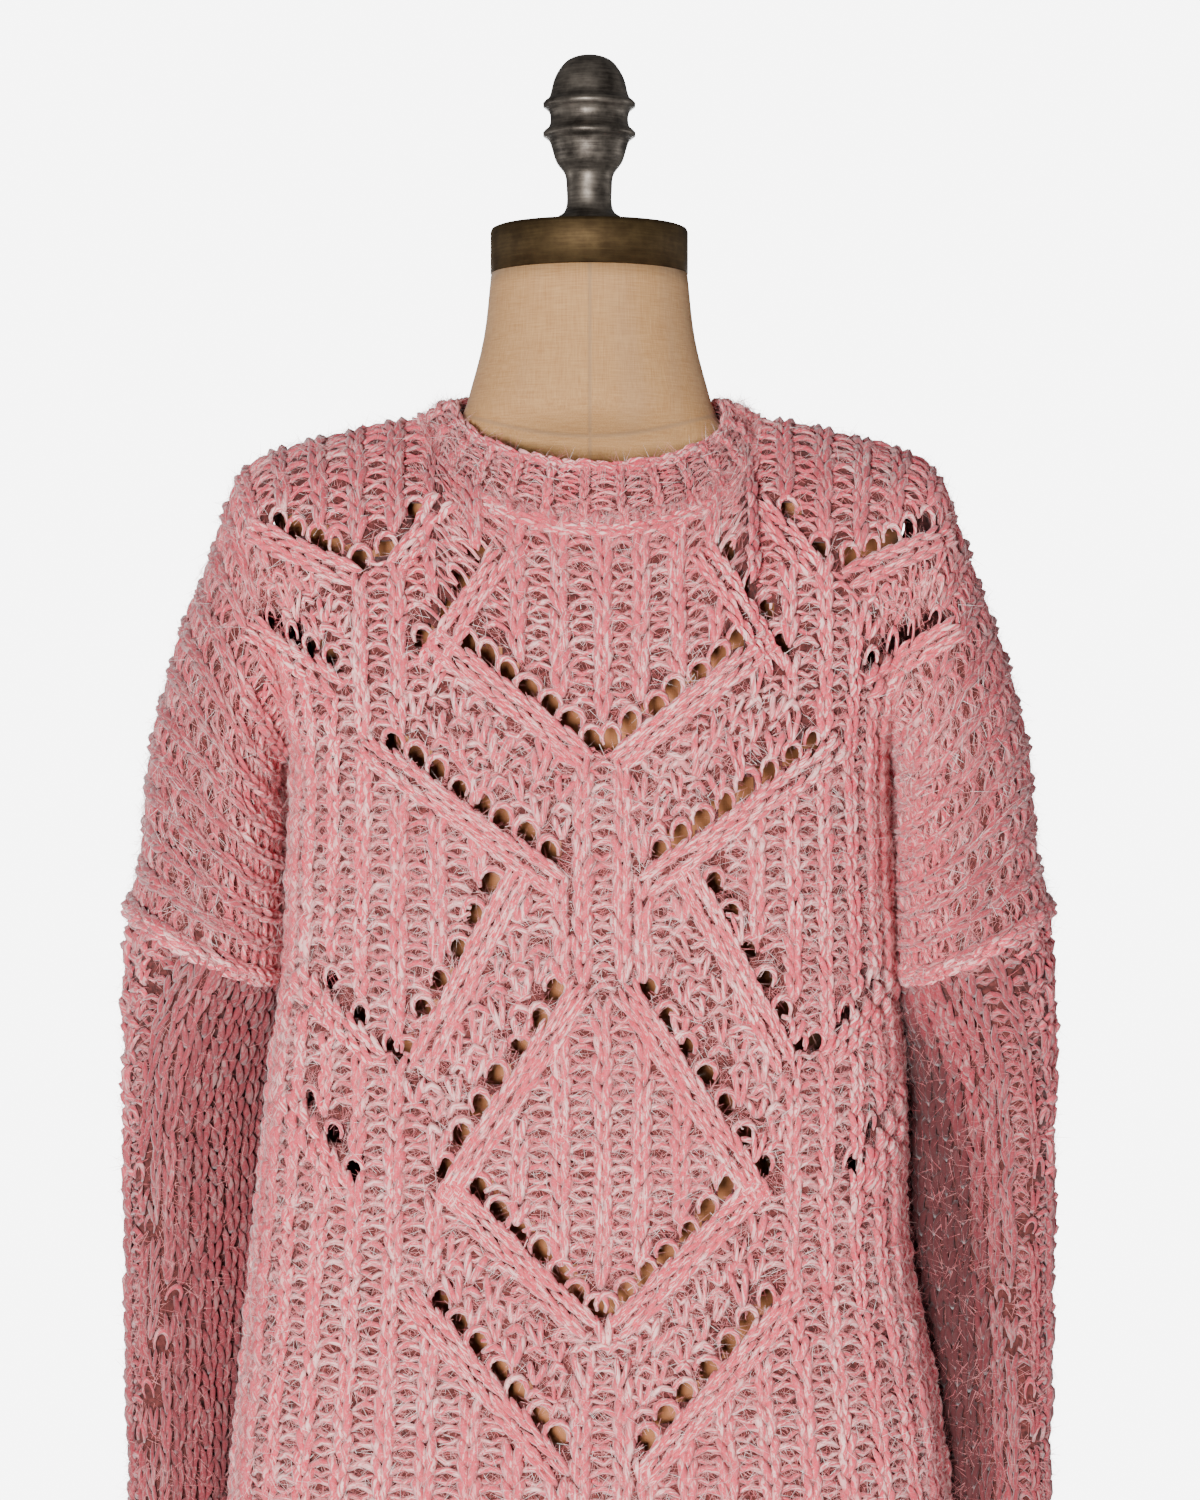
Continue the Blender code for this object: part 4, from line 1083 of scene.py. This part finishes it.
def painted_pit_shade_finish():
    """The cloth behind the stitches: the pink wool between them, darkened to painted shade."""
    # Painted shade: near-black pinks for the gaps between the stitches.
    dark, lit, shade = (0.045, 0.008, 0.007), (0.18, 0.036, 0.032), (0.05, 0.010, 0.008)
    f = Finish("wool_ground_painted_shade", 0.95, sheen=0.1)
    speckle = f.noise(f.place, 420, 3.0)
    patches = f.noise(f.place, 30, 2.0)
    colour = f.mixed(f.between(speckle, 0.35, 0.7), dark, lit)
    colour = f.mixed(f.between(patches, 0.3, 0.7, 0.0, 0.3), colour, shade)
    return f.shade(colour, speckle, 0.6, 0.0008)


def hair_finish():
    """Mohair: pink, paler or nearly white from hair to hair."""
    pink, pale, white = (0.68, 0.13, 0.15), (0.92, 0.48, 0.46), (0.98, 0.90, 0.88)
    f = Finish("mohair", 0.9, sheen=0.2)
    tone = f.attribute("tone", "Fac")
    colour = f.mixed(tone, pink, pale)
    return f.shade(f.mixed(f.between(tone, 0.68, 0.80, 0.0, 0.9), colour, white))


def linen_finish():
    """Plain weave with slubs, a seam down the centre and one round the foot of the neck.

    Below the garment's neck the linen is painted pinker and darker: painted pink light bounced from the wool
    round it, and painted shade under the sweater.
    """
    flax, pale_flax, stain = (0.37, 0.182, 0.064), (0.50, 0.280, 0.112), (0.40, 0.25, 0.14)
    thread, painted_bounce_and_shade = (0.26, 0.17, 0.10), (0.42, 0.135, 0.050)
    f = Finish("natural_linen", 0.85, sheen=0.08)
    weft = f.noise(f.stretched(f.place, (90, 90, 1500)), 1.0, 2.0)
    warp = f.noise(f.stretched(f.place, (1500, 1500, 70)), 1.0, 2.0)
    weave = f.math("ADD", weft, warp)
    split = f.node("ShaderNodeSeparateXYZ")
    f.join(f.place, split.inputs["Vector"])
    x, z = split.outputs["X"], split.outputs["Z"]
    centre = f.between(f.math("ABSOLUTE", f.math("SUBTRACT", x, 0.0005)), 0.0004, 0.0016, 1.0, 0.0)
    foot_height = f.math("ADD", f.math("MULTIPLY", f.math("MULTIPLY", x, x), 2.8), 1.4755)
    foot = f.between(f.math("ABSOLUTE", f.math("SUBTRACT", z, foot_height)), 0.0004, 0.0017, 1.0, 0.0)
    seams = f.math("MAXIMUM", centre, foot)
    colour = f.mixed(f.between(weave, 0.7, 1.3), flax, pale_flax)
    stains = f.noise(f.stretched(f.place, (26, 26, 5)), 1.0, 3.0)
    colour = f.mixed(f.between(stains, 0.55, 0.8, 0.0, 0.45), colour, stain)
    colour = f.mixed(f.math("MULTIPLY", seams, 0.45), colour, thread)
    # Painted bounce light and shade below the garment's neck.
    colour = f.mixed(f.between(z, 1.435, 1.455, 0.80, 0.0), colour, painted_bounce_and_shade)
    height = f.math("SUBTRACT", weave, f.math("MULTIPLY", seams, 2.0))
    return f.shade(colour, height, 0.35, 0.0004)


def metal_finish(name, dark, light, roughness):
    """Old metal, patchy with patina and brushed round by use."""
    f = Finish(name, roughness, 0.85)
    patina = f.noise(f.place, 70, 4.0, 0.6)
    scratches = f.noise(f.stretched(f.place, (60, 60, 900)), 1.0, 2.0)
    worn = f.between(scratches, 0.4, 0.8, 0.0, 0.4)
    amount = f.math("ADD", f.between(patina, 0.35, 0.7, 0.0, 0.7), worn, clamp=True)
    return f.shade(f.mixed(amount, dark, light), patina, 0.25, 0.0006)


def studio():
    """A pale floor in an even pale room, with lamps before, behind and beside the piece."""
    world = bpy.data.worlds.new("room")
    world.use_nodes = True
    tree = world.node_tree
    room = tree.nodes["Background"]
    room.inputs["Color"].default_value = (1, 1, 1, 1)
    room.inputs["Strength"].default_value = ROOM_LIGHT
    wall = tree.nodes.new("ShaderNodeBackground")
    wall.inputs["Color"].default_value = (1, 1, 1, 1)
    wall.inputs["Strength"].default_value = ROOM_SEEN
    seen = tree.nodes.new("ShaderNodeLightPath")
    both = tree.nodes.new("ShaderNodeMixShader")
    tree.links.new(seen.outputs["Is Camera Ray"], both.inputs[0])
    tree.links.new(room.outputs["Background"], both.inputs[1])
    tree.links.new(wall.outputs["Background"], both.inputs[2])
    tree.links.new(both.outputs["Shader"], tree.nodes["World Output"].inputs["Surface"])
    bpy.context.scene.world = world
    bm = bmesh.new()
    bmesh.ops.create_circle(bm, cap_ends=True, segments=64, radius=2.5)
    floor = bpy.data.objects.new("floor", mesh_of(bm, "floor"))
    floor.location.z = -0.0005
    bpy.context.scene.collection.objects.link(floor)
    pale = Finish("pale_floor", 0.9)
    grain = pale.noise(pale.place, 40, 2.0)
    floor.data.materials.append(pale.shade(pale.mixed(grain, (0.70, 0.70, 0.70), (0.74, 0.74, 0.74))))
    aim = Vector((0, 0, AIM_HEIGHT))
    for name, place, watts, width in LAMPS[1:]:
        lamp = bpy.data.lights.new(name, "AREA")
        lamp.energy, lamp.size = watts, width
        light = bpy.data.objects.new(name, lamp)
        light.location = place
        light.rotation_euler = (aim - Vector(place)).to_track_quat("-Z", "Y").to_euler()
        bpy.context.scene.collection.objects.link(light)
    camera = bpy.data.objects.new("camera", bpy.data.cameras.new("camera"))
    camera.data.lens = LENS
    camera.data.clip_end = 50
    camera.location = CAMERA_PLACE
    camera.rotation_euler = (math.pi / 2, 0, 0)
    bpy.context.scene.collection.objects.link(camera)
    bpy.context.scene.camera = camera


def build():
    wool, painted_pit_shade_wool, hair = wool_finish(), painted_pit_shade_finish(), hair_finish()
    linen = linen_finish()
    iron = metal_finish("dark_iron", (0.028, 0.022, 0.018), (0.21, 0.18, 0.15), 0.46)
    bronze = metal_finish("aged_bronze", (0.042, 0.024, 0.009), (0.100, 0.064, 0.026), 0.62)
    form = make_form(linen)
    front, front_patches, front_holes = make_panel("front", False, wool, painted_pit_shade_wool)
    back, back_patches, back_holes = make_panel("back", True, wool, painted_pit_shade_wool)
    sleeves = []
    for label, side in (("left", -1), ("right", 1)):
        patch, sleeve_holes = make_sleeve(label, side, wool, painted_pit_shade_wool)
        sleeves.append(patch)
        back_holes.points = np.concatenate([back_holes.points, sleeve_holes.points])
        make_band("cuff_" + label, cuff_patch(side), ("cuff_" + label,), wool, painted_pit_shade_wool,
                  (44, 10), closed=True)
    for name, back_side, panel in (("hem_front", False, front), ("hem_back", True, back)):
        make_band(name, hem_patch(back_side), (name,), wool, painted_pit_shade_wool,
                  (88, 10), closed=False)
    band = neckband_patch()
    make_band("neckband", band, ("neckband",), wool, painted_pit_shade_wool,
              (108, 8), closed=True, fine=True)
    mohair("mohair_front", [*front_patches, band], front_holes, 84000, hair, 0.85)
    # Painted shade: the hairs of the sleeves and the back are kept less pale.
    mohair("mohair_sleeves_and_back", [*sleeves, *back_patches], back_holes, 64000, hair, 0.60)
    for name, profile, finish, node, slot in (
            ("finial_turned", curve_through(FINIAL, "radius", 72), iron, "finial", "iron"),
            ("pole_turned", zip(*POLE.values()), iron, "pole", "iron"),
            ("collar_turned", zip(*COLLAR.values()), iron, "pole_collar", "iron"),
            ("base_turned", zip(*BASE.values()), iron, "base", "iron"),
            ("neck_cap_turned", zip(*CAP.values()), bronze, "neck_cap", "bronze")):
        turned(name, profile, finish, node, slot)


build()
studio()
